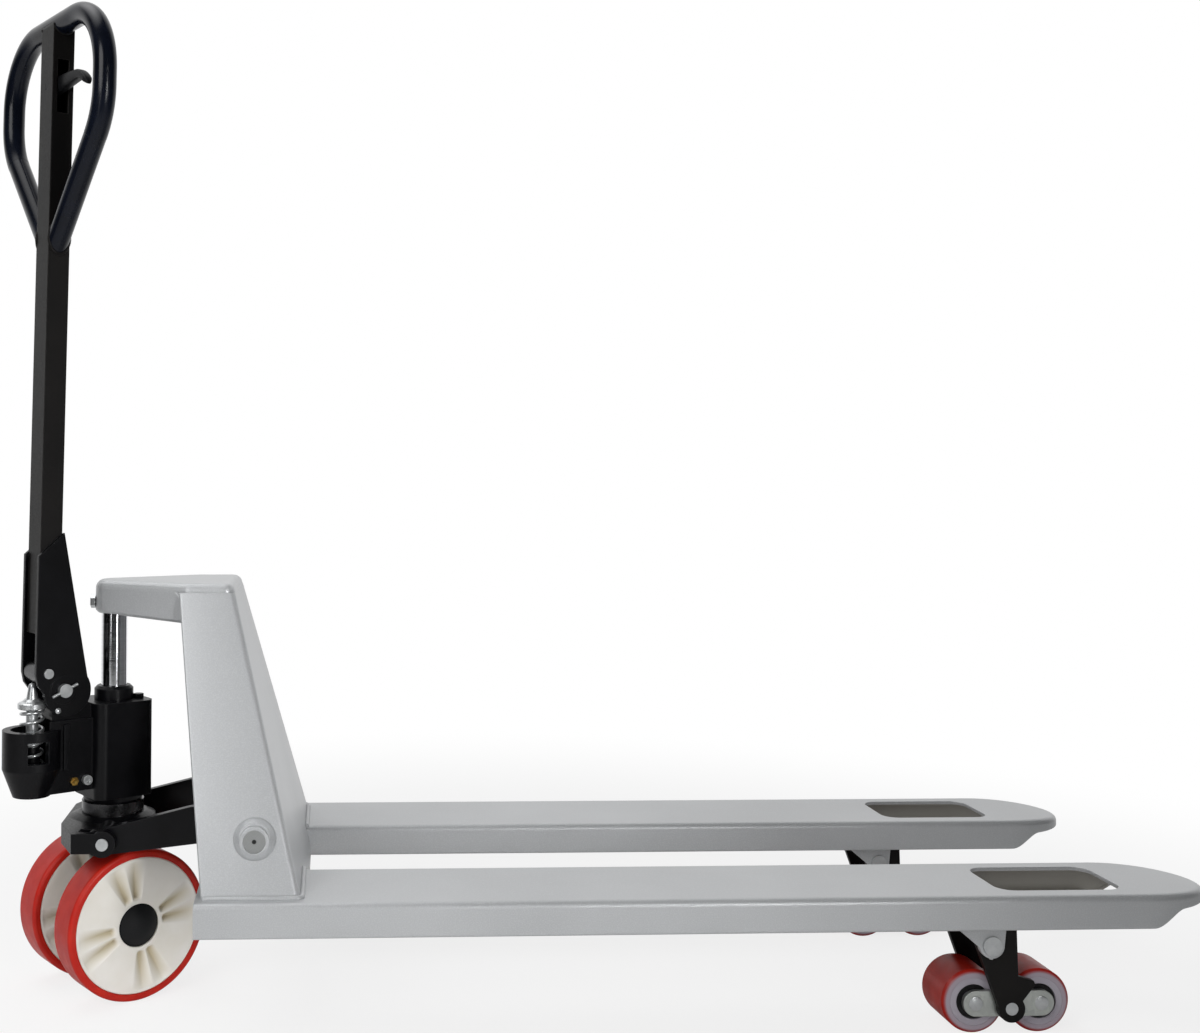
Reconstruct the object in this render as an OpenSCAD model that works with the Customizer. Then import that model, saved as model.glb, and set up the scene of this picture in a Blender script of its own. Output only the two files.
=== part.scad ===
// Hand pallet truck with raised forks, its steering turned to one side and its handle upright.
// The floor is z = 0, +X runs from the handle to the fork tips, +Y to the truck's left and +Z up.
// Steered parts are drawn straight ahead about the ram's axis and then turned by steer_turn.

/* [Overall] */
// Width across both forks
overall_w = 525; // [430:1:640]
// Fork length from the tower's foot to the tips
fork_len = 1160; // [950:10:1400]
// Height of the fork tops in the raised pose
fork_top = 185; // [170:1:225]
// Height of the top of the handle loop
handle_top = 1320; // [1100:10:1650]
// Turn of the steering to the left of straight ahead, in degrees
steer_turn = 34; // [0:1:60]

/* [Forks] */
// Width of one fork
fork_w = 155; // [140:1:190]
// Height of the fork's side walls
fork_h = 42; // [38:1:52]
// Sheet thickness of the forks
fork_t = 5; // [4:0.5:6]
// Outer radius of the fork's bends
fork_bend = 8; // [7:0.5:10]
// Width of the return lips along the fork's lower edges
lip_w = 14; // [8:1:16]
// Length of the roller window in the fork's top
window_l = 154; // [120:1:190]
// Width of the roller window
window_w = 102; // [84:1:110]
// Corner radius of the roller window
window_r = 22; // [10:1:30]
// Distance from the window to the fork's tip
window_to_tip = 130; // [125:1:170]
// Length of the rounded nose
nose_len = 108; // [80:1:120]
// Half width of the blunt end of the nose
nose_end = 22; // [15:1:35]
// Drop of the nose's top at the tip
nose_drop = 4; // [2:1:10]
// Depth of the nose's skirt at the tip
nose_skirt = 15; // [12:1:22]
// Length of the scoop that thins the skirt towards the tip
scoop_l = 57; // [40:1:75]

/* [Tower] */
// Plate thickness of the tower
plate_t = 8; // [6:0.5:10]
// Inset of the tower's foot from the fork's outer edge
foot_inset = 22; // [15:1:40]
// Width across the side plates at the head
tower_top_w = 176; // [150:1:200]
// Distance from the rocker shaft forward to the tower's foot
foot_front = 58; // [50:1:75]
// Length of a side plate along the fork at its foot
foot_l = 122; // [110:1:150]
// Length of a side plate at the head
tower_top_l = 74; // [60:1:90]
// Height of the rocker shaft above the fork tops
shaft_rise = 66; // [60:1:80]
// Diameter of the rocker shaft
shaft_d = 28; // [22:1:34]
// Outer diameter of the shaft bosses
boss_d = 37; // [34:1:44]
// Diameter of the domed collar that joins a boss to its side plate
collar_d = 53; // [48:1:60]
// Depth of the recess in the fork tops that the tower stands in
foot_recess = 0.5; // [0.3:0.1:1]

/* [Head and ram] */
// Distance from the rocker shaft back to the ram's axis
ram_back = 206; // [190:1:250]
// Ram diameter
ram_d = 35; // [30:1:42]
// Length of ram that shows between the pump and the head
ram_show = 100; // [99:1:120]
// Height of the head
head_h = 46; // [40:1:56]
// Edge radius of the head
head_r = 12; // [8:1:14]
// Extra depth of the head where it meets the tower
head_drop = 7; // [0:1:20]

/* [Pump] */
// Width of the square pump housing
pump_w = 84; // [80:1:96]
// Height of the pump housing
pump_h = 137; // [130:1:170]
// Corner radius of the pump housing
pump_r = 14; // [8:1:20]
// Height of the gland above the housing
gland_h = 19; // [14:1:24]
// Distance from the ram's axis out to the plunger's axis
plunger_out = 118; // [112:1:140]
// Outer diameter of the spring cup
cup_d = 77; // [72:1:84]
// Inner diameter of the spring cup
cup_bore = 56; // [50:0.5:60]
// Plunger rod diameter
plunger_d = 16; // [14:1:17]
// Outer diameter of the plunger spring
spring_d = 33; // [32:0.5:34]
// Wire diameter of the plunger spring
wire_d = 4.2; // [3.5:0.1:4.5]
// Turns of the plunger spring
spring_turns = 7; // [5:0.5:9]
// Diameter of the dished spring cap
cap_d = 38; // [36:0.5:38]

/* [Steering wheels] */
// Steering wheel diameter
wheel_d = 200; // [165:1:240]
// Steering wheel width
wheel_w = 50; // [40:1:60]
// Gap between the two wheels
wheel_gap = 66; // [60:1:80]
// Thickness of the wheel's tyre
tyre_t = 10; // [6:0.5:14]
// Axle diameter
axle_d = 20; // [17:1:24]

/* [Load rollers] */
// Load roller diameter
roller_d = 80; // [74:1:82]
// Load roller width
roller_w = 66; // [55:1:68]
// Distance between the two roller axles of a bogie
roller_pitch = 85; // [84:1:100]
// Thickness of the roller's tyre
roller_tyre_t = 10; // [6:0.5:12]
// Distance from the fork's tip back to the leg pivot
leg_to_tip = 297; // [290:1:330]
// Drop of the leg pivot below the fork's lower edge
leg_drop = 25; // [22:1:26]
// Forward reach of the raised leg
leg_reach = 29; // [10:1:45]
// Diameter of the leg pivot pin
leg_pin_d = 18; // [14:1:19]
// Distance from the leg pivot to its push rod pin
leg_arm = 34; // [30:1:38]

/* [Handle] */
// Width of the pole across the handle
pole_w = 40; // [36:1:40]
// Depth of the pole, fore and aft
pole_l = 30; // [26:1:34]
// Wall of the pole
pole_t = 3; // [2:0.5:4]
// Tube diameter of the handle loop
tube_d = 30; // [25:1:35]
// Width of the loop between tube centres
loop_w = 300; // [250:5:360]
// Bend radius of the loop
loop_bend = 90; // [75:1:110]
// Lean of the upright pole towards the forks, in degrees
handle_lean = 1; // [0:0.5:3]
// Distance from the ram's axis out to the handle pivot
pivot_out = 85; // [82:1:92]
// Diameter of the handle pivot pin
pivot_d = 18; // [14:1:20]

/* [Hidden] */
$fn = 36;

// Running clearance of a shaft in its hole, per side
run = 0.05;
// Side clearance between plates that move past each other
side_gap = 0.5;
// Small overlap that makes cuts pass through a face
eps = 1;

grey = "#c4c6c8";
black = "#17181b";
red = "#cf3022";
ivory = "#ddd8ca";
zinc = "#b9bdbd";

// Heights, from the floor up through the wheels, the seat, the pump and the ram to the head
fork_bottom = fork_top - fork_h;
shaft_z = fork_top + shaft_rise;
axle_z = wheel_d/2;
seat_z = wheel_d + 7;
seat_t = 26;
seat_pin_z = seat_z + 12;
seat_pin_d = 16;
cheek_r = 17;
lower_travel = 98;
bearing_z = seat_z + 31;
bearing_h = 16;
pump_z = bearing_z + bearing_h;
pump_top = pump_z + pump_h;
gland_top = pump_top + gland_h;
head_z = gland_top + ram_show;
head_top = head_z + head_h;
plate_top = head_top - head_r;
leg_z = fork_bottom - leg_drop;
roller_z = roller_d/2;
bogie_z = roller_z - 4;

// Handle, in its own frame about the pivot
pivot_z = pump_top + 22;
pole_out = 20;
pole_foot = 75;
cheek_t = 6;
press_out = 22;
press_up = 23;
press_d = 32;
press_pin_d = 13;
pivot_boss_r = 19;
loop_top = (handle_top - pivot_z)/cos(handle_lean) - tube_d/2;
loop_straight = 20;
loop_leg_turn = 42;
lever_up = loop_top - 85;
lever_pin_r = 4;

// Lengthwise places, with the origin midway between the fork tips and the back of the handle loop
loop_out = pivot_out + pole_out - (loop_top - loop_bend)*sin(handle_lean);
rear_reach = ram_back + loop_out*cos(steer_turn) + loop_w/2*sin(steer_turn) + tube_d/2;
shaft_x = -(foot_front + fork_len - rear_reach)/2;
foot_x = shaft_x + foot_front;
tip_x = foot_x + fork_len;
heel_x = foot_x - foot_l - 7;
ram_x = shaft_x - ram_back;
seat_pin_x = ram_x + 3;
nose_x = tip_x - nose_len;
window_x = tip_x - window_to_tip - window_l/2;
leg_x = tip_x - leg_to_tip;
bogie_x = leg_x + leg_reach;

// Crosswise places
fork_y = (overall_w - fork_w)/2;
inner_y = overall_w/2 - fork_w;
foot_y = overall_w/2 - foot_inset;
top_y = tower_top_w/2;

// Lean of the side plates and slope of the front plate, in degrees
side_lean = atan((foot_y - top_y)/(plate_top - fork_top));
front_slope = atan((foot_l - tower_top_l + 45)/(plate_top - fork_top));

// Rocker
arm_in = 88;
arm_t = 12;
rocker_r = 25;
bush_t = 3;
lower_arm = 95;
lower_arm_turn = 13.5;
rod_t = 10;
clevis_t = 6;
clevis_in = rod_t/2 + 1;
clevis_out = clevis_in + clevis_t;
clevis_join = 0.5;
rod_pin_d = 12;
rod_rear_x = shaft_x + lower_arm*sin(lower_arm_turn);
rod_rear_z = shaft_z - lower_arm*cos(lower_arm_turn);
leg_arm_turn = 50;
rod_front_x = leg_x + leg_arm*cos(leg_arm_turn);
rod_front_z = leg_z + leg_arm*sin(leg_arm_turn);

// Layers across a fork, measured from its middle
link_in = roller_w/2 + 1.5;
link_t = 6;
leg_in = link_in + link_t + side_gap;
leg_t = 8;
lug_in = leg_in + leg_t + side_gap;
lug_t = 7;
cross_pin_d = 16;
lug_r = 16;

// Plunger and spring
tip_r = 5;
tip_gap = 0.7;
tip_side = plunger_out - pivot_out - press_out;
tip_z = pivot_z + press_up - sqrt(pow(press_d/2 + tip_r, 2) - pow(tip_side, 2)) - tip_gap;
cap_z = tip_z - 29;
cap_h = 13;
cup_top = pump_top - 30;
cup_bottom = pump_z + 19;
cup_floor = cup_bottom + 17;
guide_top = cup_floor + 48;
plunger_foot = guide_top - 12;
spring_len = cap_z - cup_floor - 0.6;

// Wheels
wheel_in = wheel_gap/2;
bearing_r = axle_d/2 + 13.5;
bearing_w = 14;

// Smaller details
grip_r = 25.5;
grip_bevel = 4;
corner_r = 14;
ram_roof = 12;
clamp_d = 10;
clamp_z = head_z + 15;
head_x = foot_x - (plate_top - fork_top)*tan(front_slope);
bore_z = axle_z + 95;
ram_foot = bore_z + 105;
clevis_rise = 12;
rod_y = min(
    fork_y,
    plate_inside(shaft_z + clevis_rise) - side_gap - clevis_out,
    plate_inside(shaft_z + rocker_r) - side_gap - clevis_in - clevis_join
);
rocker_half = rod_y + clevis_in + clevis_join;
boss_out = foot_y - 14;
roll_pin_d = 5;
eye_r = 17;
eye_slot_r = seat_pin_d/2 + 1.4;
pin_run = shaft_x - seat_pin_x;
eye_near = pin_run - 0.5;
eye_far = norm([pin_run, seat_pin_z + lower_travel - shaft_z]) + 0.6;
arm_room = eye_far - pin_run + eye_r + 4;
seat_rear = seat_pin_x - ram_x - arm_room - 8;
collar_gap = 0.05;
lower_arm_w = 26;
seat_half = 113;
spindle_d = 49.9;
neck_half = 24;
lug_half = 18.5;
release_x = -51;
release_z = pump_z + 36;
nut_out = 18;
cup_taper = 37;
neck_top = pump_top - 19;
block_lift = 8;
pivot_lug_r = pivot_d/2 + 5.5;
lug_rear = min(pivot_out + 12.5, plunger_out - cap_d/2 - 1.5);
gland_r = ram_d/2 + 9;
plug_r = 7;
plug_out = gland_r + plug_r;
plug_turn = -25;
bracket_r = 33;
bracket_h = 209;
web_t = 4;
roller_axle_d = 16;

// Distance from the middle to the inner face of a side plate at height z
function plate_inside(z) = foot_y - (z - fork_top)*tan(side_lean) - plate_t/cos(side_lean);

// A flat outline in x and z, drawn out along y from y0 to y1
module across(y0, y1) translate([0, y1, 0]) rotate([90, 0, 0]) linear_extrude(y1 - y0) children();

// An outline in y and z, drawn out along x from x0 to x1
module along(x0, x1) translate([x0, 0, 0]) rotate([90, 0, 90]) linear_extrude(x1 - x0) children();

// The same outline as a plate of thickness t on one side of the middle, its inner face at distance y
module layer(side, y, t) {
    across(side*(y + t/2) - t/2, side*(y + t/2) + t/2) children();
}

// A round bar along y
module bar_y(d, y0, y1) translate([0, y1, 0]) rotate([90, 0, 0]) cylinder(d = d, h = y1 - y0);

// The straight-ahead frame of the steered parts, with the operator towards -X
module steered() translate([ram_x, 0, 0]) rotate([0, 0, steer_turn]) children();

// The handle's frame: pivot at the origin and the pole along +Z
module at_handle() steered() translate([-pivot_out, 0, pivot_z]) rotate([0, handle_lean, 0]) children();

module on_fork(side) translate([0, side*fork_y, 0]) children();

// The middle of a push rod, in line with its fork where the tower leaves room
module on_rod(side) translate([0, side*rod_y, 0]) children();

// Forks
module channel_outline(w, h, r) {
    translate([-w/2, 0]) square([w, h - r]);
    translate([-w/2 + r, 0]) square([w - 2*r, h]);
    for (s = [-1, 1]) translate([s*(w/2 - r), h - r]) circle(r);
}

module channel_hollow() {
    inner_w = fork_w - 2*fork_t;
    translate([0, fork_t]) channel_outline(inner_w, fork_h - 2*fork_t, fork_bend - fork_t);
    translate([-inner_w/2 + lip_w, -eps]) square([inner_w - 2*lip_w, 2*fork_t]);
}

// The nose seen from above: two long arcs that meet a blunt round end
module nose_plan(inset) {
    half = fork_w/2 - inset;
    drawn_in = half - nose_end;
    side_r = (pow(nose_len, 2) + pow(drawn_in, 2))/(2*drawn_in);
    end_r = nose_len + 4;
    intersection() {
        translate([0, -half]) square([nose_len - inset, 2*half]);
        translate([0, half - side_r]) circle(side_r, $fn = 128);
        translate([0, side_r - half]) circle(side_r, $fn = 128);
        translate([nose_len - inset - end_r, 0]) circle(end_r, $fn = 128);
    }
}

module nose_body(inset) {
    top_r = (pow(nose_len, 2) + pow(nose_drop, 2))/(2*nose_drop);
    skirt_z = fork_h - nose_drop - nose_skirt;
    scoop_r = (pow(scoop_l, 2) + pow(skirt_z, 2))/(2*skirt_z);
    difference() {
        intersection() {
            linear_extrude(fork_h) nose_plan(inset);
            across(-fork_w, fork_w) translate([0, fork_h - top_r]) circle(top_r - inset, $fn = 256);
        }
        if (inset == 0) {
            across(-fork_w, fork_w) translate([nose_len, skirt_z - scoop_r]) circle(scoop_r, $fn = 256);
        }
    }
}

module window_outline() {
    for (s = [0, 1]) {
        square([window_l - 2*s*window_r, window_w - 2*(1 - s)*window_r], center = true);
    }
    for (sx = [-1, 1], sy = [-1, 1]) {
        translate([sx*(window_l/2 - window_r), sy*(window_w/2 - window_r)]) circle(window_r);
    }
}

module fork(side) color(grey) on_fork(side) difference() {
    union() {
        translate([0, 0, fork_bottom]) along(heel_x, nose_x) channel_outline(fork_w, fork_h, fork_bend);
        translate([nose_x, 0, fork_bottom]) nose_body(0);
    }
    translate([0, 0, fork_bottom]) along(heel_x - eps, nose_x) channel_hollow();
    translate([nose_x - 0.01, 0, fork_bottom - eps]) nose_body(fork_t);
    translate([window_x, 0, fork_bottom + fork_t]) linear_extrude(fork_h) window_outline();
    translate([heel_x - eps, -fork_w, fork_top - foot_recess]) cube([foot_x - heel_x + 3, 2*fork_w, fork_h]);
    translate([shaft_x - 42, side*(rod_y - fork_y) - clevis_out - 4, fork_bottom + fork_t]) {
        cube([90, 2*clevis_out + 8, fork_h]);
    }
}

module right_fork() fork(-1);
module left_fork() fork(1);

// Tower
// Side plate in its own plane: x along the fork, y up the lean
module side_plate_outline() {
    rise = (plate_top - fork_top)/cos(side_lean);
    slant = (head_x - foot_x)/rise;
    low = -20;
    polygon([
        [foot_x - foot_l, low], [foot_x + slant*low, low], [head_x, rise], [head_x - tower_top_l, rise],
        [foot_x - foot_l, 0]
    ]);
}

module in_side_plane() {
    translate([0, -foot_y, fork_top]) rotate([90 - side_lean, 0, 0]) children();
}

module below_foot() translate([-2000, -1000, fork_top - foot_recess - 1000]) cube([4000, 2000, 1000]);

module side_plate_right() difference() {
    in_side_plane() translate([0, 0, -plate_t]) linear_extrude(plate_t) side_plate_outline();
    below_foot();
    translate([shaft_x, 0, shaft_z]) bar_y(boss_d + 2*run, -overall_w, 0);
}

module right_side_plate() color(grey) side_plate_right();
module left_side_plate() color(grey) mirror([0, 1, 0]) side_plate_right();

// Inclined front plate that closes the tower between the side plates and runs down between the forks
module front_plate() color(grey) {
    rise = (plate_top - fork_top)/cos(front_slope);
    below = 32;
    difference() {
        translate([foot_x, 0, fork_top]) rotate([0, -front_slope, 0]) {
            translate([-plate_t, -foot_y, -below]) cube([plate_t, 2*foot_y, below + rise + 20]);
        }
        for (m = [0, 1]) mirror([0, m, 0]) {
            in_side_plane() translate([-2000, -500, -plate_t]) cube([4000, 2000, 1000]);
            translate([-2000, inner_y, fork_top - foot_recess - 1000]) cube([4000, 1000, 1000]);
        }
        translate([-2000, -1000, plate_top]) cube([4000, 2000, 100]);
    }
}

// Everything outside the inner faces of the tower's plates, up to their top edge
module beyond_plates() intersection() {
    union() {
        for (m = [0, 1]) mirror([0, m, 0]) {
            in_side_plane() translate([-2000, -500, -plate_t]) cube([4000, 2000, 1000]);
        }
        translate([foot_x, 0, fork_top]) rotate([0, -front_slope, 0]) {
            translate([-plate_t, -1000, -500]) cube([1000, 2000, 2000]);
        }
    }
    translate([-2000, -1000, 0]) cube([4000, 2000, plate_top]);
}

// Head: a tapering cap with rounded upper edges whose nose grips the top of the ram
module head_peg(x, y, r, drop) translate([x, y, head_z - drop]) {
    straight = plate_top - head_z + drop;
    cylinder(r1 = r - grip_bevel, r2 = r, h = grip_bevel, $fn = 32);
    translate([0, 0, grip_bevel]) cylinder(r = r, h = straight - grip_bevel, $fn = 32);
    for (a = [18:18:90]) {
        translate([0, 0, straight]) cylinder(r = r - head_r*(1 - cos(a)), h = head_r*sin(a), $fn = 32);
    }
}

module head() color(grey) difference() {
    union() {
        hull() {
            head_peg(ram_x, 0, grip_r, 0);
            for (s = [-1, 1]) {
                head_peg(head_x - tower_top_l + corner_r, s*(top_y - corner_r), corner_r, head_drop);
            }
        }
        hull() {
            for (x = [head_x - tower_top_l + corner_r, head_x - corner_r], s = [-1, 1]) {
                head_peg(x, s*(top_y - corner_r), corner_r, head_drop);
            }
        }
    }
    translate([ram_x, 0, head_z - eps]) cylinder(d = ram_d + 2*run, h = head_h - ram_roof + eps);
    translate([ram_x, 0, head_z - head_drop - eps]) cylinder(r = gland_r + 3, h = head_drop + eps);
    translate([ram_x - 60, 0, clamp_z]) rotate([0, 90, 0]) cylinder(d = clamp_d + 2*run, h = 60);
    beyond_plates();
}

// Hex bolt that clamps the ram in the head
module clamp_bolt() color(zinc) translate([ram_x - grip_r, 0, clamp_z]) rotate([0, 90, 0]) {
    cylinder(d = clamp_d, h = grip_r - ram_d/2 - run);
    translate([0, 0, -6.5]) cylinder(d = 1.9*clamp_d, h = 6.5, $fn = 6);
}

module ram() color(zinc) {
    translate([ram_x, 0, ram_foot]) cylinder(d = ram_d, h = head_top - ram_roof - 0.3 - ram_foot, $fn = 48);
}

// Rocker shaft and the bosses that carry it in the side plates
module rocker_shaft() color(zinc) translate([shaft_x, 0, shaft_z]) bar_y(shaft_d, -boss_out, boss_out);

module shaft_bosses() color(grey) for (m = [0, 1]) mirror([0, m, 0]) difference() {
    union() {
        translate([shaft_x, 0, shaft_z]) bar_y(boss_d, -boss_out, -rod_y - clevis_out - side_gap);
        in_side_plane() translate([shaft_x, shaft_rise/cos(side_lean), collar_gap]) {
            cylinder(d1 = collar_d, d2 = collar_d - 5, h = 5);
            translate([0, 0, 5]) cylinder(d1 = collar_d - 5, d2 = boss_d + 1, h = 6);
        }
    }
    translate([shaft_x, 0, shaft_z]) bar_y(shaft_d + 2*run, -overall_w, 0);
}

// A hole or pin of given size up through a lug and its leg pin
module in_lug(t) translate([leg_x, t*(lug_in + lug_t/2), leg_z - lug_r - 1.5]) children();

// Lugs under each fork that carry the leg
module lug_outline() difference() {
    union() {
        translate([leg_x, leg_z]) circle(lug_r);
        polygon([
            [leg_x - lug_r, leg_z - 2], [leg_x + lug_r, leg_z],
            [leg_x + lug_r + 6, fork_top - fork_t], [leg_x - lug_r - 32, fork_top - fork_t],
            [leg_x - lug_r - 32, fork_bottom]
        ]);
    }
    translate([leg_x, leg_z]) circle(d = leg_pin_d + 0.04);
}

module leg_lugs() color(grey) for (s = [-1, 1], t = [-1, 1]) on_fork(s) difference() {
    layer(t, lug_in, lug_t) lug_outline();
    in_lug(t) cylinder(d = roll_pin_d + 0.04, h = lug_r + 1, $fn = 28);
}

// Short pivot pins of the legs, one through each lug
module leg_pins() color(zinc) for (s = [-1, 1], t = [-1, 1]) on_fork(s) difference() {
    union() {
        layer(t, leg_in, lug_in + lug_t - leg_in) translate([leg_x, leg_z]) circle(d = leg_pin_d);
        layer(t, lug_in + lug_t, 3) translate([leg_x, leg_z]) circle(d = leg_pin_d + 6);
    }
    in_lug(t) cylinder(d = roll_pin_d + 0.04, h = lug_r + 5.5, $fn = 28);
}

module roll_pins() color(zinc) for (s = [-1, 1], t = [-1, 1]) on_fork(s) {
    in_lug(t) cylinder(d = roll_pin_d, h = lug_r + 5, $fn = 28);
}

// Rocker: a cross tube with two long arms to the pump seat and two clevis arms down to the push rods
module rocker_arm_outline() {
    eye_turn = atan2(seat_pin_z - shaft_z, seat_pin_x - shaft_x);
    mid_x = 0.45*(seat_pin_x - shaft_x);
    difference() {
        union() {
            circle(rocker_r);
            polygon([
                [0, rocker_r], [mid_x, 13], [seat_pin_x - shaft_x, seat_pin_z - shaft_z + eye_r],
                [seat_pin_x - shaft_x, seat_pin_z - shaft_z - eye_r], [mid_x, -36], [0, -rocker_r]
            ]);
            rotate(eye_turn) {
                for (d = [eye_near, eye_far]) translate([d, 0]) circle(eye_r);
                translate([eye_near, -eye_r]) square([eye_far - eye_near, 2*eye_r]);
            }
        }
        circle(rocker_r - 1);
        rotate(eye_turn) {
            for (d = [eye_near, eye_far]) translate([d, 0]) circle(eye_slot_r);
            translate([eye_near, -eye_slot_r]) square([eye_far - eye_near, 2*eye_slot_r]);
        }
    }
}

module lower_arm_outline() rotate(lower_arm_turn) difference() {
    union() {
        translate([-lower_arm_w/2, -lower_arm]) square([lower_arm_w, lower_arm]);
        translate([0, -lower_arm]) circle(d = lower_arm_w);
    }
    translate([0, -lower_arm]) circle(d = rod_pin_d + 0.04);
}

module rocker() color(black) translate([shaft_x, 0, shaft_z]) difference() {
    union() {
        bar_y(2*rocker_r, -rocker_half, rocker_half);
        for (s = [-1, 1]) {
            layer(s, arm_in, arm_t) rocker_arm_outline();
            for (t = [-1, 1]) on_rod(s) layer(t, clevis_in, clevis_t) lower_arm_outline();
        }
    }
    bar_y(shaft_d + 2*bush_t + 2*run, -rocker_half - side_gap, rocker_half + side_gap);
    bar_y(shaft_d + 2*side_gap, -overall_w, overall_w);
}

module rocker_bushes() color(zinc) translate([shaft_x, 0, shaft_z]) for (s = [-1, 1]) difference() {
    bar_y(shaft_d + 2*bush_t, s*(rocker_half - 15) - 15, s*(rocker_half - 15) + 15);
    bar_y(shaft_d + 2*run, -overall_w, overall_w);
}

module rod_pins() color(zinc) for (s = [-1, 1]) on_rod(s) {
    translate([rod_rear_x, 0, rod_rear_z]) bar_y(rod_pin_d, -14, 14);
}

// Push rods inside the forks: flat bars with slotted eyes
module slot_outline(z0, z1, r) {
    for (z = [z0, z1]) translate([0, z]) circle(r);
    translate([-r, z0]) square([2*r, z1 - z0]);
}

module push_rod(side) color(black) on_rod(side) across(-rod_t/2, rod_t/2) difference() {
    union() {
        translate([rod_rear_x, rod_rear_z]) slot_outline(-3, 2, 13);
        translate([rod_front_x, rod_front_z]) slot_outline(-5, 8.5, 16);
        polygon([
            [rod_rear_x, rod_rear_z - 10], [rod_front_x, rod_front_z - 8],
            [rod_front_x, rod_front_z + 12], [rod_rear_x, rod_rear_z + 10]
        ]);
    }
    translate([rod_rear_x, rod_rear_z]) slot_outline(-3, 2, rod_pin_d/2 + 0.9);
    translate([rod_front_x, rod_front_z]) slot_outline(-5, 8.5, cross_pin_d/2 + 1.7);
}

module right_push_rod() push_rod(-1);
module left_push_rod() push_rod(1);

// Pump seat: a yoke held by the rocker's arms, with a bore that the steering spindle turns in
module seat_plan() polygon([
    [seat_rear - 23, -56], [seat_rear, -seat_half], [seat_pin_x - ram_x, -seat_half],
    [seat_pin_x - ram_x, seat_half], [seat_rear, seat_half], [seat_rear - 23, 56]
]);

module pump_seat() color(black) difference() {
    union() {
        translate([ram_x, 0, seat_z]) linear_extrude(seat_t) seat_plan();
        translate([ram_x, 0, seat_z + seat_t]) cylinder(r1 = 58, r2 = 46, h = bearing_z - seat_z - seat_t);
        translate([ram_x, 0, seat_z]) cylinder(r = 58, h = seat_t);
        translate([seat_pin_x, 0, seat_pin_z]) bar_y(2*cheek_r, -seat_half, seat_half);
    }
    translate([ram_x, 0, seat_z - 50]) cylinder(d = spindle_d + 2*run, h = 200);
    for (s = [-1, 1]) {
        layer(s, arm_in - 1.5, arm_t + 3) translate([seat_pin_x - arm_room, seat_z - 50]) square([100, 200]);
        layer(s, seat_half - 53, 60) translate([seat_pin_x, seat_pin_z]) circle(d = seat_pin_d + 0.04);
    }
}

module seat_pins() color(zinc) for (s = [-1, 1]) {
    layer(s, seat_half - 50, 52) translate([seat_pin_x, seat_pin_z]) circle(d = seat_pin_d);
}

module thrust_bearing() color(zinc) translate([ram_x, 0, bearing_z]) difference() {
    cylinder(d = pump_w, h = bearing_h - 0.2);
    translate([0, 0, -eps]) cylinder(d = spindle_d + 1, h = bearing_h + 2*eps);
}

// Pump body: one casting with the cylinder housing, the spring cup, the pivot lug and the steering spindle
module block_outline(w, r) {
    square([w, w - 2*r], center = true);
    square([w - 2*r, w], center = true);
    for (x = [-1, 1], y = [-1, 1]) translate([x*(w/2 - r), y*(w/2 - r)]) circle(r);
}

module pump_body() color(black) steered() difference() {
    union() {
        translate([0, 0, pump_z]) cylinder(d1 = pump_w - 6, d2 = pump_w - 1, h = block_lift + eps);
        translate([0, 0, pump_z + block_lift]) {
            linear_extrude(pump_h - block_lift) block_outline(pump_w, pump_r);
        }
        translate([0, 0, axle_z]) cylinder(d = spindle_d, h = pump_z - axle_z + eps);
        translate([0, 0, axle_z]) bar_y(2*axle_d + 8, -wheel_in + 2, wheel_in - 2);
        translate([-plunger_out, -neck_half, cup_bottom + 3]) {
            cube([plunger_out - pump_w/2 + 2, 2*neck_half, neck_top - cup_bottom - 3]);
        }
        translate([-plunger_out, 0, cup_bottom]) cylinder(r1 = cup_d/2 - 14, r2 = cup_d/2, h = cup_taper);
        translate([-plunger_out, 0, cup_bottom + cup_taper]) {
            cylinder(d = cup_d, h = cup_top - cup_bottom - cup_taper);
        }
        across(-lug_half, lug_half) {
            translate([-pivot_out, pivot_z]) circle(pivot_lug_r);
            polygon([
                [-lug_rear, pivot_z - 7], [-lug_rear, neck_top - 20], [-pump_w/2 + 2, neck_top - 20],
                [-pump_w/2 + 2, pump_top - 4], [-pivot_out + pivot_lug_r - 1, pivot_z + 4]
            ]);
        }
        for (s = [-1, 1]) {
            layer(s, neck_half - 2, 8) translate([-pivot_out, cup_bottom + 34]) {
                square([7, neck_top - 5 - cup_bottom - 34]);
            }
        }
    }
    translate([0, 0, bore_z]) cylinder(r = ram_d/2 + 1.5, h = 400);
    translate([0, 0, axle_z]) bar_y(axle_d + 0.04, -wheel_gap, wheel_gap);
    translate([-pivot_out, 0, pivot_z]) bar_y(pivot_d + 2*run, -neck_half - eps, neck_half + eps);
    difference() {
        translate([-plunger_out, 0, cup_floor]) cylinder(d = cup_bore, h = neck_top - cup_floor + eps);
        translate([-plunger_out, 0, cup_floor - eps]) {
            cylinder(r = plunger_d/2 + 2.6, h = guide_top - cup_floor + eps);
        }
    }
    translate([-plunger_out, 0, cup_bottom + 2]) cylinder(d = plunger_d + 2*run, h = 200);
    translate([-plunger_out - 19, -cup_d/2 - eps, cup_floor + 30]) {
        cube([27, cup_d/2 - 14, cup_top - 12 - cup_floor - 30]);
    }
    for (x = [release_x, release_x - nut_out]) {
        translate([x, 0, release_z]) bar_y(6, -neck_half - eps, -neck_half + 8);
    }
    at_plug() translate([0, 0, -10]) cylinder(d = 8, h = 20, $fn = 28);
}

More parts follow.
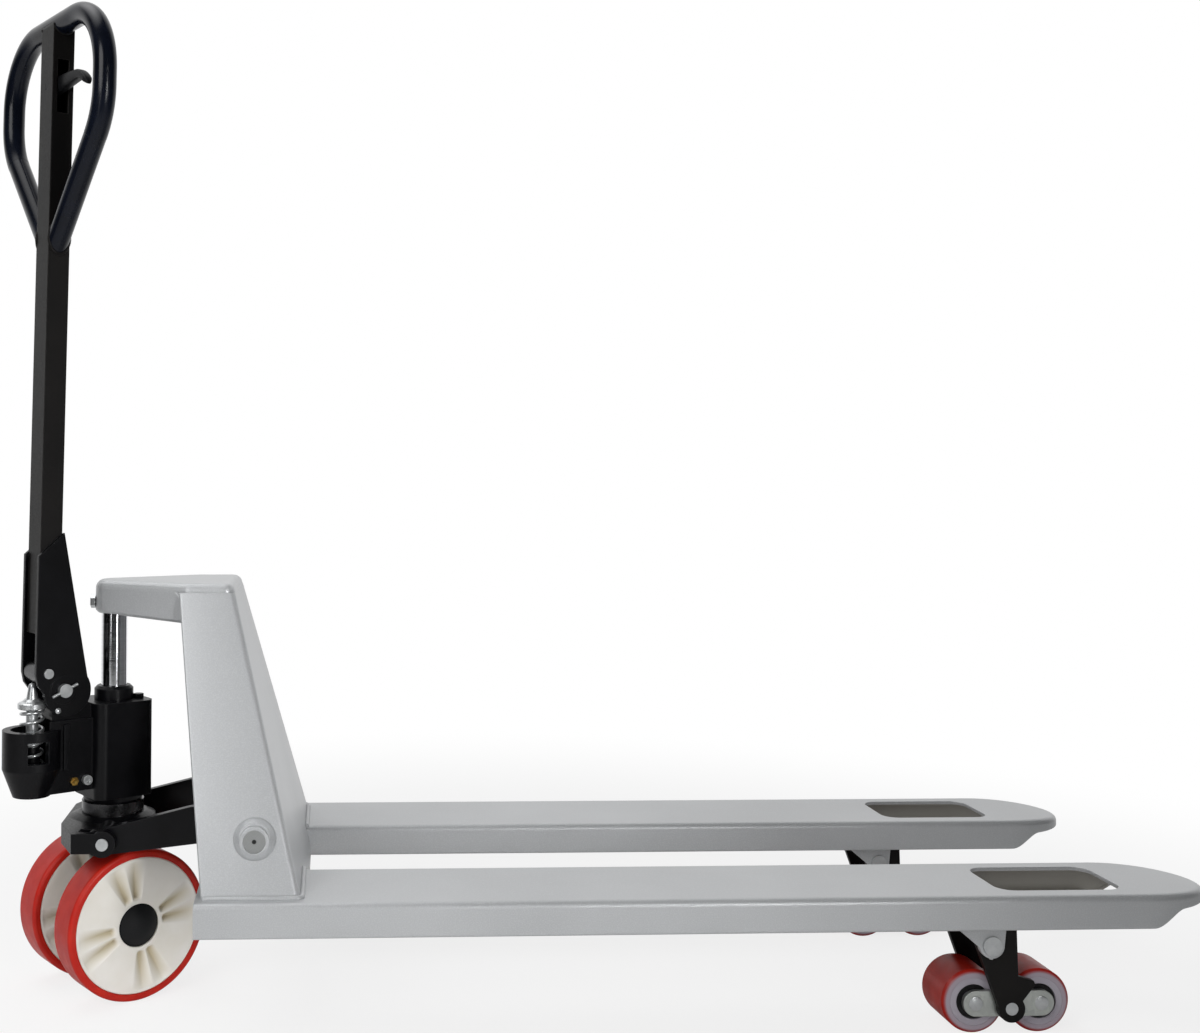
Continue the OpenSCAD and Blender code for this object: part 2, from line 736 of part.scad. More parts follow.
module gland() color(black) steered() difference() {
    union() {
        translate([0, 0, pump_top]) cylinder(r = gland_r, h = gland_h - 4);
        translate([0, 0, pump_top + gland_h - 4]) cylinder(r1 = gland_r, r2 = gland_r - 4, h = 4);
        translate([0, 0, pump_top - 16]) cylinder(r = ram_d/2 + 1.5, h = 16);
    }
    translate([0, 0, pump_top - 20]) cylinder(d = ram_d + 2*run, h = 60);
}

module at_plug() rotate([0, 0, plug_turn]) translate([plug_out, 0, pump_top]) children();

module filler_plug() color(black) steered() at_plug() {
    translate([0, 0, -8]) cylinder(d = 7.9, h = 8, $fn = 28);
    cylinder(r = plug_r, h = 6, $fn = 6);
}

module release_screw() color(zinc) steered() translate([release_x, 0, release_z]) difference() {
    union() {
        bar_y(5.9, -neck_half, -neck_half + 6);
        bar_y(13, -neck_half - 7, -neck_half);
    }
    translate([0, -neck_half - 3, 0]) rotate([90, 0, 0]) cylinder(d = 6, h = 10, $fn = 6);
}

module release_nut() color("#b89043") steered() translate([release_x - nut_out, 0, release_z]) {
    bar_y(5.9, -neck_half - 6, -neck_half + 6);
    translate([0, -neck_half, 0]) rotate([90, 0, 0]) cylinder(d = 12, h = 4, $fn = 6);
}

module wheel_axle() color(zinc) steered() translate([0, 0, axle_z]) {
    bar_y(axle_d, -wheel_in - wheel_w + 8, wheel_in + wheel_w - 8);
}

// Steering wheels, drawn about their own axis with the outer face up
module at_wheel(side) steered() {
    translate([0, side*(wheel_in + wheel_w/2), axle_z]) rotate([-side*90, 0, 0]) children();
}

module wheel_tyre() rotate_extrude($fn = 72) difference() {
    union() {
        translate([wheel_d/2 - tyre_t, -wheel_w/2]) square([tyre_t - 5, wheel_w]);
        translate([wheel_d/2 - tyre_t, -wheel_w/2 + 5]) square([tyre_t, wheel_w - 10]);
        for (s = [-1, 1]) translate([wheel_d/2 - 5, s*(wheel_w/2 - 5)]) circle(5, $fn = 16);
    }
}

// One wedge pocket of the hub's outer face, deep near the middle and fading towards the rim
module hub_pocket(turn) rotate_extrude(angle = 17, start = turn, $fn = 72) polygon([
    [bearing_r + 12, wheel_w/2 - 10], [wheel_d/2 - tyre_t - 12, wheel_w/2 - 3.2],
    [wheel_d/2 - tyre_t - 12, wheel_w/2], [bearing_r + 12, wheel_w/2]
]);

module wheel_hub() difference() {
    rotate_extrude($fn = 72) {
        difference() {
            translate([axle_d/2 + 6, -wheel_w/2]) square([wheel_d/2 - tyre_t - run - axle_d/2 - 6, wheel_w]);
            translate([bearing_r + 9, wheel_w/2 - 3]) square([wheel_d/2 - tyre_t - bearing_r - 18, 10]);
            translate([0, wheel_w/2 - 7]) square([bearing_r + 5.1, 10]);
            translate([0, wheel_w/2 - 7 - bearing_w]) square([bearing_r + run, bearing_w + eps]);
            translate([0, -wheel_w/2 - eps]) square([bearing_r + run, bearing_w + eps + 1]);
        }
    }
    for (n = [0:3], k = [0, 1]) hub_pocket(n*90 + k*21 + 6);
}

module wheel_cap() intersection() {
    translate([0, 0, wheel_w/2 - 7]) cylinder(r = bearing_r + 5, h = 20);
    translate([0, 0, wheel_w/2 + 7 - 44]) sphere(r = 44, $fn = 72);
    difference() {
        translate([0, 0, wheel_w/2 - 7]) cylinder(r = 60, h = 20);
        translate([0, 0, wheel_w/2 - 8]) cylinder(r = bearing_r - 4, h = 6);
    }
}

module wheel_bearings() for (z = [-wheel_w/2 + 1, wheel_w/2 - 7 - bearing_w]) {
    translate([0, 0, z]) difference() {
        cylinder(r = bearing_r, h = bearing_w - 0.2);
        translate([0, 0, -eps]) cylinder(d = axle_d + 2*run, h = bearing_w + 2*eps);
    }
}

module right_wheel_tyre() color(red) at_wheel(-1) wheel_tyre();
module left_wheel_tyre() color(red) at_wheel(1) wheel_tyre();
module right_wheel_hub() color(ivory) at_wheel(-1) wheel_hub();
module left_wheel_hub() color(ivory) at_wheel(1) wheel_hub();
module right_wheel_cap() color(black) at_wheel(-1) wheel_cap();
module left_wheel_cap() color(black) at_wheel(1) wheel_cap();
module right_wheel_bearings() color(zinc) at_wheel(-1) wheel_bearings();
module left_wheel_bearings() color(zinc) at_wheel(1) wheel_bearings();

// Pump plunger: a rod with a domed tip, the dished cap that the spring pushes up, and the spring
module plunger() color(zinc) steered() translate([-plunger_out, 0, 0]) rotate_extrude() {
    polygon([
        [0, plunger_foot], [plunger_d/2, plunger_foot], [plunger_d/2, cap_z + cap_h],
        [tip_r, tip_z], [0, tip_z]
    ]);
    intersection() {
        translate([0, tip_z]) circle(tip_r, $fn = 32);
        translate([0, tip_z]) square(2*tip_r);
    }
}

module spring_cap() color(zinc) steered() translate([-plunger_out, 0, cap_z]) rotate_extrude() polygon([
    [plunger_d/2 + 0.02, 0], [cap_d/2 - 1, 0], [cap_d/2, 1], [cap_d/2, 7], [cap_d/2 - 2, 8.5],
    [plunger_d/2 + 5, 10], [plunger_d/2 + 2, cap_h], [plunger_d/2 + 0.02, cap_h]
]);

// Spring wire: one tube of six sides along a helix with eight rings a curl and close end curls
spring_rings = 8*spring_turns;
spring_r = (spring_d - wire_d)/2;
end_curl = 0.75;
end_pitch = wire_d + 0.8;
spring_rise = spring_len - wire_d;
mid_pitch = (spring_rise - 2*end_curl*end_pitch)/(spring_turns - 2*end_curl);
function coil_height(turn) =
    min(turn, end_curl)*end_pitch
    + max(0, min(turn, spring_turns - end_curl) - end_curl)*mid_pitch
    + max(0, turn - spring_turns + end_curl)*end_pitch;
function coil_middle(n) = [
    spring_r*cos(45*n), spring_r*sin(45*n), wire_d/2 + coil_height(n/8)
];
function coil_point(n, k) = coil_middle(n)
    + wire_d/2*cos(60*k)*[cos(45*n), sin(45*n), 0]
    + [0, 0, wire_d/2*sin(60*k)];
coil_gaps = [for (a = [0:spring_rings - 6], b = [a + 6:spring_rings]) norm(coil_middle(a) - coil_middle(b))];
echo(str("least gap of the spring to itself: ", min(coil_gaps) - wire_d));

module plunger_spring() color(zinc) steered() translate([-plunger_out, 0, cup_floor + 0.3]) {
    polyhedron(
        points = [for (n = [0:spring_rings], k = [0:5]) coil_point(n, k)],
        faces = concat(
            [for (k = [1:4]) [0, k, k + 1]],
            [for (n = [0:spring_rings - 1], k = [0:5]) [6*n + k, 6*n + 6 + k, 6*n + (k + 1)%6]],
            [for (n = [0:spring_rings - 1], k = [0:5]) [6*n + 6 + k, 6*n + 6 + (k + 1)%6, 6*n + (k + 1)%6]],
            [for (k = [1:4]) 6*spring_rings*[1, 1, 1] + [0, k + 1, k]]
        )
    );
}

// Handle bracket: a folded plate whose two cheeks hold the pole and straddle the pivot lug
module cheek_outline() difference() {
    union() {
        translate([6, -2]) circle(bracket_r);
        polygon([
            [bracket_r + 5.5, -9], [-pole_out + pole_l/2 + 1, bracket_h],
            [-pole_out - pole_l/2 - 4, bracket_h - 30], [-pole_out - pole_l/2 - 4, 22],
            [-pole_out - 16, 8], [-pole_out - 4, -8], [-pole_out, -24]
        ]);
    }
    circle(d = pivot_d + 0.04);
    translate([-press_out, press_up]) circle(d = press_pin_d + 0.04);
    translate([-7, -27]) circle(d = 6);
}

module handle_bracket() color(black) at_handle() {
    for (s = [-1, 1]) {
        layer(s, pole_w/2, cheek_t) cheek_outline();
        layer(s, pole_w/2 + cheek_t - eps, 1.5 + eps) difference() {
            circle(pivot_boss_r);
            circle(d = pivot_d + 0.04);
            translate([-press_out, press_up]) circle(d = press_pin_d + 2);
        }
    }
    across(-pole_w/2 - eps, pole_w/2 + eps) {
        translate([-pole_out + pole_l/2 + 0.1, pole_foot]) square([web_t, bracket_h - pole_foot - 26]);
    }
}

module pole() color(black) at_handle() translate([-pole_out, 0, 0]) difference() {
    translate([0, 0, pole_foot]) linear_extrude(loop_top - pole_foot) difference() {
        square([pole_l, pole_w], center = true);
        square([pole_l - 2*pole_t, pole_w - 2*pole_t], center = true);
    }
    translate([0, 0, loop_top]) bar_y(tube_d + 2*run, -pole_w, pole_w);
    translate([-8, -pole_w, lever_up - 36]) cube([16, pole_w, 72]);
    translate([-pole_l, 0, lever_up]) rotate([0, 90, 0]) {
        cylinder(r = lever_pin_r + run, h = 2*pole_l, $fn = 28);
    }
}

// Handle loop: one bent tube that starts and ends on the pole's sides, drawn as two halves
module tube_outline(d) difference() {
    circle(d = d);
    circle(d = d - 5);
}

// The legs are a hair slimmer than the bends, so that each leg's end sits inside its bend
module half_loop() {
    bend_x = loop_w/2 - loop_bend;
    leg_len = (bend_x + loop_bend*cos(loop_leg_turn))/sin(loop_leg_turn);
    translate([0, loop_top, 0]) rotate([0, 90, 0]) linear_extrude(bend_x) tube_outline(tube_d);
    translate([bend_x, loop_top - loop_bend, 0]) {
        rotate_extrude(angle = 90, start = 0) translate([loop_bend, 0]) tube_outline(tube_d);
    }
    translate([bend_x, loop_top - loop_bend - loop_straight, 0]) {
        translate([loop_bend, 0, 0]) rotate([-90, 0, 0]) linear_extrude(loop_straight) tube_outline(tube_d);
        rotate_extrude(angle = loop_leg_turn, start = -loop_leg_turn) {
            translate([loop_bend, 0]) tube_outline(tube_d);
        }
        difference() {
            rotate([0, 0, -loop_leg_turn]) translate([loop_bend, 0.5, 0]) rotate([90, 0, 0]) {
                linear_extrude(leg_len) tube_outline(tube_d - 0.4);
            }
            translate([pole_w/2 - bend_x - 500, -1000, -500]) cube([500, 2000, 1000]);
        }
    }
}

module handle_loop() color(black) at_handle() translate([-pole_out, 0, 0]) {
    rotate([90, 0, 90]) for (m = [0, 1]) mirror([m, 0, 0]) half_loop();
}

module pivot_pin() color(zinc) at_handle() difference() {
    bar_y(pivot_d, -pole_w/2 - cheek_t - 9, pole_w/2 + cheek_t + 5);
    at_split_pin() cylinder(d = 4.04, h = 60, center = true, $fn = 28);
}

module at_split_pin() translate([0, -pole_w/2 - cheek_t - 5, 0]) rotate([0, 66, 0]) children();

module split_pin() color(zinc) at_handle() at_split_pin() cylinder(d = 4, h = 38, center = true, $fn = 28);

module roller_pin() color(zinc) at_handle() translate([-press_out, 0, press_up]) {
    bar_y(press_pin_d, -pole_w/2 - cheek_t - 3, pole_w/2 + cheek_t + 3);
}

module press_roller() color(zinc) at_handle() translate([-press_out, 0, press_up]) difference() {
    bar_y(press_d, -pole_w/2 + 1.5, pole_w/2 - 1.5);
    bar_y(press_pin_d + 2*run, -pole_w, pole_w);
}

// Control lever: rocks in the pole's slot and pulls the control rod inside the pole
module lever_outline() {
    circle(7);
    polygon([
        [12, -5], [12, 4], [0, 7], [-30, 9], [-96, 9], [-116, 3], [-125, -10], [-121, -17],
        [-112, -12], [-100, -5], [-60, -6], [0, -7]
    ]);
}

module control_lever() color(black) at_handle() translate([-pole_out, 0, lever_up]) {
    translate([-6, 0, 0]) rotate([90, 0, 90]) linear_extrude(12) lever_outline();
    translate([-pole_l/2 + 0.1, 0, 0]) rotate([0, 90, 0]) {
        cylinder(r = lever_pin_r, h = pole_l - 0.2, $fn = 28);
    }
}

module control_rod() color(zinc) at_handle() translate([-pole_out, 9, pole_foot + 4]) {
    cylinder(d = 6, h = lever_up - 6.8 - pole_foot - 4, $fn = 28);
}

// Legs: two stamped plates each, from the fork's lugs down to the bogie, with an arm for the push rod
module leg_outline() difference() {
    union() {
        translate([leg_x, leg_z]) circle(lug_r);
        translate([bogie_x, bogie_z]) circle(17);
        translate([rod_front_x, rod_front_z]) circle(13);
        polygon([
            [leg_x - lug_r + 1, leg_z - 5], [bogie_x - 17, bogie_z + 2], [bogie_x + 15, bogie_z - 7],
            [bogie_x + 14, bogie_z + 10], [bogie_x + 30, bogie_z + 30], [bogie_x + 28, bogie_z + 35],
            [bogie_x + 8, bogie_z + 41], [rod_front_x + 13, rod_front_z - 1],
            [rod_front_x - 5, rod_front_z + 12], [leg_x - 9, leg_z + 13]
        ]);
    }
    translate([leg_x, leg_z]) circle(d = leg_pin_d + 2*run);
    translate([rod_front_x, rod_front_z]) circle(d = cross_pin_d + 0.04);
    translate([bogie_x, bogie_z]) circle(d = cross_pin_d + 0.04);
}

module leg(side) color(black) on_fork(side) for (t = [-1, 1]) {
    layer(t, leg_in, leg_t) leg_outline();
}

module right_leg() leg(-1);
module left_leg() leg(1);

// A long pin takes the push rod, and two short ones carry the bogie clear of the rollers
module leg_cross_pins() color(zinc) for (s = [-1, 1]) on_fork(s) {
    translate([rod_front_x, 0, rod_front_z]) bar_y(cross_pin_d, -leg_in - leg_t, leg_in + leg_t);
    for (t = [-1, 1]) {
        layer(t, link_in, leg_in + leg_t - link_in) translate([bogie_x, bogie_z]) circle(d = cross_pin_d);
    }
}

// Bogies: two link plates joined by the riveted roller axles
module link_outline() difference() {
    union() {
        translate([bogie_x - roller_pitch/2, roller_z - 16]) square([roller_pitch, 32]);
        for (s = [-1, 1]) translate([bogie_x + s*roller_pitch/2, roller_z]) circle(16);
    }
    translate([bogie_x, bogie_z]) circle(d = cross_pin_d + 2*run);
}

module bogie(side) color(zinc) on_fork(side) {
    for (t = [-1, 1]) layer(t, link_in, link_t) link_outline();
    for (s = [-1, 1]) translate([bogie_x + s*roller_pitch/2, 0, roller_z]) {
        bar_y(roller_axle_d, -link_in - link_t, link_in + link_t);
    }
}

module right_bogie() bogie(-1);
module left_bogie() bogie(1);

// Load rollers, drawn about their own axis
module at_roller(side, end) on_fork(side) {
    translate([bogie_x + end*roller_pitch/2, 0, roller_z]) rotate([90, 0, 0]) children();
}

module roller_tyre() rotate_extrude($fn = 56) polygon([
    [roller_d/2 - roller_tyre_t, -roller_w/2], [roller_d/2 - 4, -roller_w/2], [roller_d/2, -roller_w/2 + 4],
    [roller_d/2, roller_w/2 - 4], [roller_d/2 - 4, roller_w/2], [roller_d/2 - roller_tyre_t, roller_w/2]
]);

module roller_hub() rotate_extrude($fn = 56) difference() {
    translate([roller_axle_d/2 + run, -roller_w/2]) {
        square([roller_d/2 - roller_tyre_t - run - roller_axle_d/2 - run, roller_w]);
    }
    for (s = [-1, 1]) translate([roller_axle_d/2 + 5, s*roller_w/2 - 7]) square([9, 14]);
}

module right_rear_tyre() color(red) at_roller(-1, -1) roller_tyre();
module right_front_tyre() color(red) at_roller(-1, 1) roller_tyre();
module left_rear_tyre() color(red) at_roller(1, -1) roller_tyre();
module left_front_tyre() color(red) at_roller(1, 1) roller_tyre();
module right_rear_hub() color(ivory) at_roller(-1, -1) roller_hub();
module right_front_hub() color(ivory) at_roller(-1, 1) roller_hub();
module left_rear_hub() color(ivory) at_roller(1, -1) roller_hub();
module left_front_hub() color(ivory) at_roller(1, 1) roller_hub();

right_fork();
left_fork();
right_side_plate();
left_side_plate();
front_plate();
head();
shaft_bosses();
rocker_shaft();
leg_lugs();
leg_pins();
roll_pins();
ram();
clamp_bolt();
right_push_rod();
left_push_rod();
rocker();
rocker_bushes();
rod_pins();
pump_seat();
seat_pins();
thrust_bearing();
pump_body();
gland();
filler_plug();
release_screw();
release_nut();
wheel_axle();
right_wheel_tyre();
right_wheel_hub();
right_wheel_cap();
right_wheel_bearings();
left_wheel_tyre();
left_wheel_hub();
left_wheel_cap();
left_wheel_bearings();
plunger();
spring_cap();
plunger_spring();
handle_bracket();
pole();
handle_loop();
pivot_pin();
split_pin();
roller_pin();
press_roller();
control_lever();
control_rod();
right_leg();
left_leg();
leg_cross_pins();
right_bogie();
left_bogie();
right_rear_tyre();
right_front_tyre();
left_rear_tyre();
left_front_tyre();
right_rear_hub();
right_front_hub();
left_rear_hub();
left_front_hub();
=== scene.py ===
import bmesh
import bpy
import numpy as np
from mathutils import Matrix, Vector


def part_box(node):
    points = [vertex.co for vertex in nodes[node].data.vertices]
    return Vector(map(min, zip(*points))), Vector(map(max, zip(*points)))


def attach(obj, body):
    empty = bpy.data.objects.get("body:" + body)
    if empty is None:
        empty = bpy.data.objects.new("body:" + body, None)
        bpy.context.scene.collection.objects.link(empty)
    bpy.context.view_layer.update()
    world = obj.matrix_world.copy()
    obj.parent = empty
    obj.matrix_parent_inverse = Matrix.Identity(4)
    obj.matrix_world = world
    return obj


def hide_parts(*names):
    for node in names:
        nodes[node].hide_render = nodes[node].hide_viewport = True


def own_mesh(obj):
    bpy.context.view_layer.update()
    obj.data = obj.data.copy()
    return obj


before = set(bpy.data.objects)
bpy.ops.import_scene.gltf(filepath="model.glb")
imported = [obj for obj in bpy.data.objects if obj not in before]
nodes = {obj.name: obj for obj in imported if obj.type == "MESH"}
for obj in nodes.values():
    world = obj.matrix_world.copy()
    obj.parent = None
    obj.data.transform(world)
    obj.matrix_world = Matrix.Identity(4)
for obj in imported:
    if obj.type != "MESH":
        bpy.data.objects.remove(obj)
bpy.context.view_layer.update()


def middle(node):
    """The middle of a CAD node's box."""
    low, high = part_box(node)
    return (np.array(low) + high)/2


# Places and sizes shared with the source, in metres and radians
SHAFT = middle("rocker_shaft")[[0, 2]]
RAM_X = middle("ram")[0]

# Tower: a side plate's outer front edge at its foot and at its top, its length there, its thickness
FOOT = np.array((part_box("right_side_plate")[1][0], 0.2405, 0.185))
TOWER_TOP = np.array((FOOT[0] - 0.093, 0.088, 0.544))
FOOT_LENGTH, TOP_LENGTH, PLATE = 0.122, 0.074, 0.00869

# Forks: tip, middle line, half the width, and the channel's height, thickness and bend
TIP_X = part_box("right_fork")[1][0]
FORK_Y, FORK_HALF = 0.185, 0.0775
FORK_H, FORK_T, FORK_BEND = 0.042, 0.005, 0.008
# Nose: its length, the fall of its top and the wall left at its tip, the length of the S below it
# and of the S's steep part, and the lip under the wall
NOSE, NOSE_DROP, NOSE_SKIRT = 0.108, 0.004, 0.016
SCOOP, STEEP, LIP = 0.098, 0.045, 0.014
# Roller window: rear end, front end, half the width and the corners' radius
WINDOW = (TIP_X - 0.284, TIP_X - 0.122, 0.051, 0.022)

# Steering, plunger and pivot: distances out from the ram's axis and heights above the floor. Pole
# and loop: the pole's place behind the pivot and its half sizes, the tube's radius, and the heights
# of the loop and the lever up the pole from the pivot
STEER_TURN = np.radians(34)
PLUNGER_OUT, CUP_FLOOR = 0.118, 0.290
PIVOT_OUT, PIVOT_Z, HANDLE_LEAN = 0.085, 0.413, np.radians(1)
POLE_OUT, POLE_HALF, POLE_DEPTH, TUBE_R = 0.020, 0.020, 0.015, 0.015
LOOP_TOP = (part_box("handle_loop")[1][2] - PIVOT_Z)/np.cos(HANDLE_LEAN) - TUBE_R
LOOP_FOOT, LEVER_UP = LOOP_TOP - 0.28888, LOOP_TOP - 0.085

# Steering wheels: the inner face's distance from the ram's axis, half the width, the axle's height,
# the hub's radius and its bearing's. Load rollers: their axles, and the link plates' outer faces
WHEEL_IN, WHEEL_HALF, AXLE_Z, HUB_R, BEARING_R = 0.033, 0.025, 0.100, 0.090, 0.0235
ROLLER_X = middle("right_rear_tyre")[0], middle("right_front_tyre")[0]
ROLLER_Z, LINK_OUT = 0.040, 0.0405
SIDES = (("right", -1), ("left", 1))

# Camera: sensor in millimetres; image width, focal length and shift in pixels; place in metres;
# yaw, pitch and roll in degrees
SENSOR, IMAGE_WIDTH, FOCAL, SHIFT_X, SHIFT_Y = 36, 1200, 1424, 194.3, -70.7
CAMERA_PLACE = (SHAFT[0] + 0.0917, -1.9895, 0.7146)
CAMERA_TURN = (-2.99, 0.79, 0.32)

# Lamps: place, target, width and height, watts and beam in degrees
LAMPS = {
    "key_softbox": ((-1.9, -2.4, 2.2), (-0.4, 0, 0.4), (1.8, 1.8), 33, 180),
    "top_softbox": ((-1.2, 0.3, 2.6), (-0.36, 0, 0.2), (2.0, 2.0), 3.9, 64),
    "left_strip": ((-1.72, -2.79, 0.9), (-0.6, 0, 0.4), (0.22, 1.7), 1.2, 90),
    "right_strip": ((0.99, -2.53, 0.9), (-0.6, 0, 0.4), (0.36, 1.9), 2.8, 48),
}

# Room: the world's light on the object, the level that mirrors see behind the camera, where the
# backdrop starts and is full along y in the world's directions and on the floor, the floor's half
# width, the ring in which its shadow fades out, and the share of plain white inside that ring
WORLD_LIGHT, BEHIND_CAMERA = 0.23, 0.03
BACKDROP_SKY, BACKDROP_FLOOR = (0.1, 0.6), (-0.2, 1.4)
FLOOR_REACH, SHADOW_RING, SHADOW_WHITE = 2.8, (0.7, 1.9), 0.80
WHITE = (1, 1, 1, 1)

# Noise seldom leaves this range, so patterns are spread over it
NOISE = (0.3, 0.7)
BEVEL_SAMPLES = 6


# Stage: camera, light and floor

def look(place, yaw, pitch, roll):
    """The camera's matrix: forward from yaw and pitch, right level with the floor, both turned by
    roll."""
    yaw, pitch, roll = np.radians((yaw, pitch, roll))
    forward = np.array((-np.sin(yaw)*np.cos(pitch), np.cos(yaw)*np.cos(pitch), np.sin(pitch)))
    level = np.array((np.cos(yaw), np.sin(yaw), 0))
    upright = np.cross(level, forward)
    right = np.cos(roll)*level + np.sin(roll)*upright
    up = np.cos(roll)*upright - np.sin(roll)*level
    made = np.eye(4)
    made[:3, :3] = np.stack((right, up, -forward), axis=1)
    made[:3, 3] = place
    return Matrix(made.tolist())


def linear(code, alpha=1.0):
    """sRGB hex to the linear colour that a socket takes."""
    s = np.array([int(code[i:i + 2], 16) for i in (1, 3, 5)])/255
    return (*np.where(s <= 0.04045, s/12.92, ((s + 0.055)/1.055)**2.4).tolist(), alpha)


def add(tree, kind, inputs=None, **settings):
    """A node with its settings and its inputs, each a plain value or a pair of node and output."""
    made = tree.nodes.new("ShaderNode" + kind)
    for name, value in settings.items():
        setattr(made, name, value)
    for key, value in (inputs or {}).items():
        if isinstance(value, tuple) and isinstance(value[0], bpy.types.Node):
            tree.links.new(value[0].outputs[value[1]], made.inputs[key])
        else:
            made.inputs[key].default_value = value
    return made


def make_camera():
    """A camera with the photograph's place, turn, focal length and shift."""
    data = bpy.data.cameras.new("photo_camera")
    data.sensor_width = SENSOR
    data.lens = SENSOR*FOCAL/IMAGE_WIDTH
    data.shift_x, data.shift_y = SHIFT_X/IMAGE_WIDTH, SHIFT_Y/IMAGE_WIDTH
    data.clip_end = 60
    camera = bpy.data.objects.new("photo_camera", data)
    camera.matrix_world = look(CAMERA_PLACE, *CAMERA_TURN)
    bpy.context.scene.collection.objects.link(camera)
    bpy.context.scene.camera = camera


def softbox(name, place, target, size, power, beam):
    """A soft lamp of the given width and height, turned to the target, its beam narrowed by a
    grid."""
    data = bpy.data.lights.new(name, "AREA")
    data.shape = "ELLIPSE"
    data.size, data.size_y = size
    data.energy = power
    data.spread = np.radians(beam)
    lamp = bpy.data.objects.new(name, data)
    away = np.array(place, float) - target
    away /= np.linalg.norm(away)
    nearly_upright = 0.95
    side = np.cross((0, 1, 0) if abs(away[2]) > nearly_upright else (0, 0, 1), away)
    side /= np.linalg.norm(side)
    made = np.eye(4)
    made[:3, :3] = np.stack((side, np.cross(away, side), away), axis=1)
    made[:3, 3] = place
    lamp.matrix_world = Matrix(made.tolist())
    bpy.context.scene.collection.objects.link(lamp)


def backdrop_level(tree, coordinate, start, end):
    """How white a ray finds the studio: one where the camera looks straight at it, nought where it
    lights the object. Mirror-like parts and glass see the white only on the backdrop's side, from
    start to end along y, and a dim room behind the camera."""
    path = add(tree, "LightPath")
    place = add(tree, "TexCoord")
    along = add(tree, "SeparateXYZ", {0: (place, coordinate)})
    backdrop = add(tree, "MapRange", {0: (along, "Y"), 1: start, 2: end, 3: BEHIND_CAMERA},
                   interpolation_type="SMOOTHSTEP")
    mirror = add(tree, "Math", {0: (path, "Is Glossy Ray"), 1: (path, "Is Transmission Ray")},
                 operation="MAXIMUM")
    mirrored = add(tree, "Math", {0: (mirror, 0), 1: (backdrop, 0)}, operation="MULTIPLY")
    level = add(tree, "Math", {0: (path, "Is Camera Ray"), 1: (mirrored, 0)}, operation="MAXIMUM")
    return path, mirror, level


def make_world():
    """A white backdrop where it is seen, and an even soft light on the object."""
    world = bpy.data.worlds.new("studio")
    world.use_nodes = True
    tree = world.node_tree
    tree.nodes.clear()
    path, mirror, level = backdrop_level(tree, "Generated", *BACKDROP_SKY)
    seen = add(tree, "Math", {0: (path, "Is Camera Ray"), 1: (mirror, 0)}, operation="MAXIMUM")
    strength = add(tree, "Mix", {0: (seen, 0), 2: WORLD_LIGHT, 3: (level, 0)})
    light = add(tree, "Background", {"Color": WHITE, "Strength": (strength, 0)})
    add(tree, "OutputWorld", {"Surface": (light, 0)})
    bpy.context.scene.world = world


def make_floor():
    """A flat pale floor that takes the shadow near the truck and fades to plain white further
    out."""
    corners = np.array(((-1, -1, 0), (1, -1, 0), (1, 1, 0), (-1, 1, 0)), float)*FLOOR_REACH
    mesh = bpy.data.meshes.new("studio_floor")
    mesh.from_pydata(corners.tolist(), [], [(0, 1, 2, 3)])
    floor = bpy.data.objects.new("studio_floor", mesh)
    bpy.context.scene.collection.objects.link(floor)
    paint = bpy.data.materials.new("matt_white_floor_paint")
    paint.use_nodes = True
    tree = paint.node_tree
    tree.nodes.clear()
    place = add(tree, "TexCoord")
    out = add(tree, "VectorMath", {0: (place, "Object")}, operation="LENGTH")
    near, far = SHADOW_RING
    fade = add(tree, "MapRange", {0: (out, "Value"), 1: near, 2: far, 3: SHADOW_WHITE, 4: 1.0},
               interpolation_type="SMOOTHSTEP")
    level = backdrop_level(tree, "Object", *BACKDROP_FLOOR)[-1]
    share = add(tree, "Math", {0: (fade, 0), 1: (level, 0)}, operation="MULTIPLY")
    matt = add(tree, "BsdfDiffuse", {"Color": linear("#f4f4f4")})
    white = add(tree, "Emission", {"Color": WHITE, "Strength": 1.0})
    both = add(tree, "MixShader", {0: (share, 0), 1: (matt, 0), 2: (white, 0)})
    add(tree, "OutputMaterial", {"Surface": (both, 0)})
    mesh.materials.append(paint)


# Finishes

def surface(name, sockets=None):
    """A new material, its node tree and its shader, with the sockets that are the same all over."""
    material = bpy.data.materials.new(name)
    material.use_nodes = True
    tree = material.node_tree
    tree.nodes.clear()
    shader = add(tree, "BsdfPrincipled", sockets)
    add(tree, "OutputMaterial", {"Surface": (shader, 0)})
    return material, tree, shader


def grain(tree, size_mm, detail=2.0, stretch=(1, 1, 1), rough=0.5):
    """Noise whose lumps are about size_mm across, in the truck's own coordinates."""
    place = add(tree, "TexCoord")
    laid = add(tree, "Mapping", {"Vector": (place, "Object"), "Scale": stretch})
    return add(tree, "TexNoise", {
        "Vector": (laid, 0), "Scale": 1000/size_mm, "Detail": detail, "Roughness": rough})


def mottle(tree, noise, dark, light):
    """A colour that drifts from dark to light with the noise."""
    share = add(tree, "MapRange", {0: (noise, 0), 1: NOISE[0], 2: NOISE[1], 3: 0.0, 4: 1.0})
    return add(tree, "Mix", {0: (share, 0), 6: linear(dark), 7: linear(light)}, data_type="RGBA")


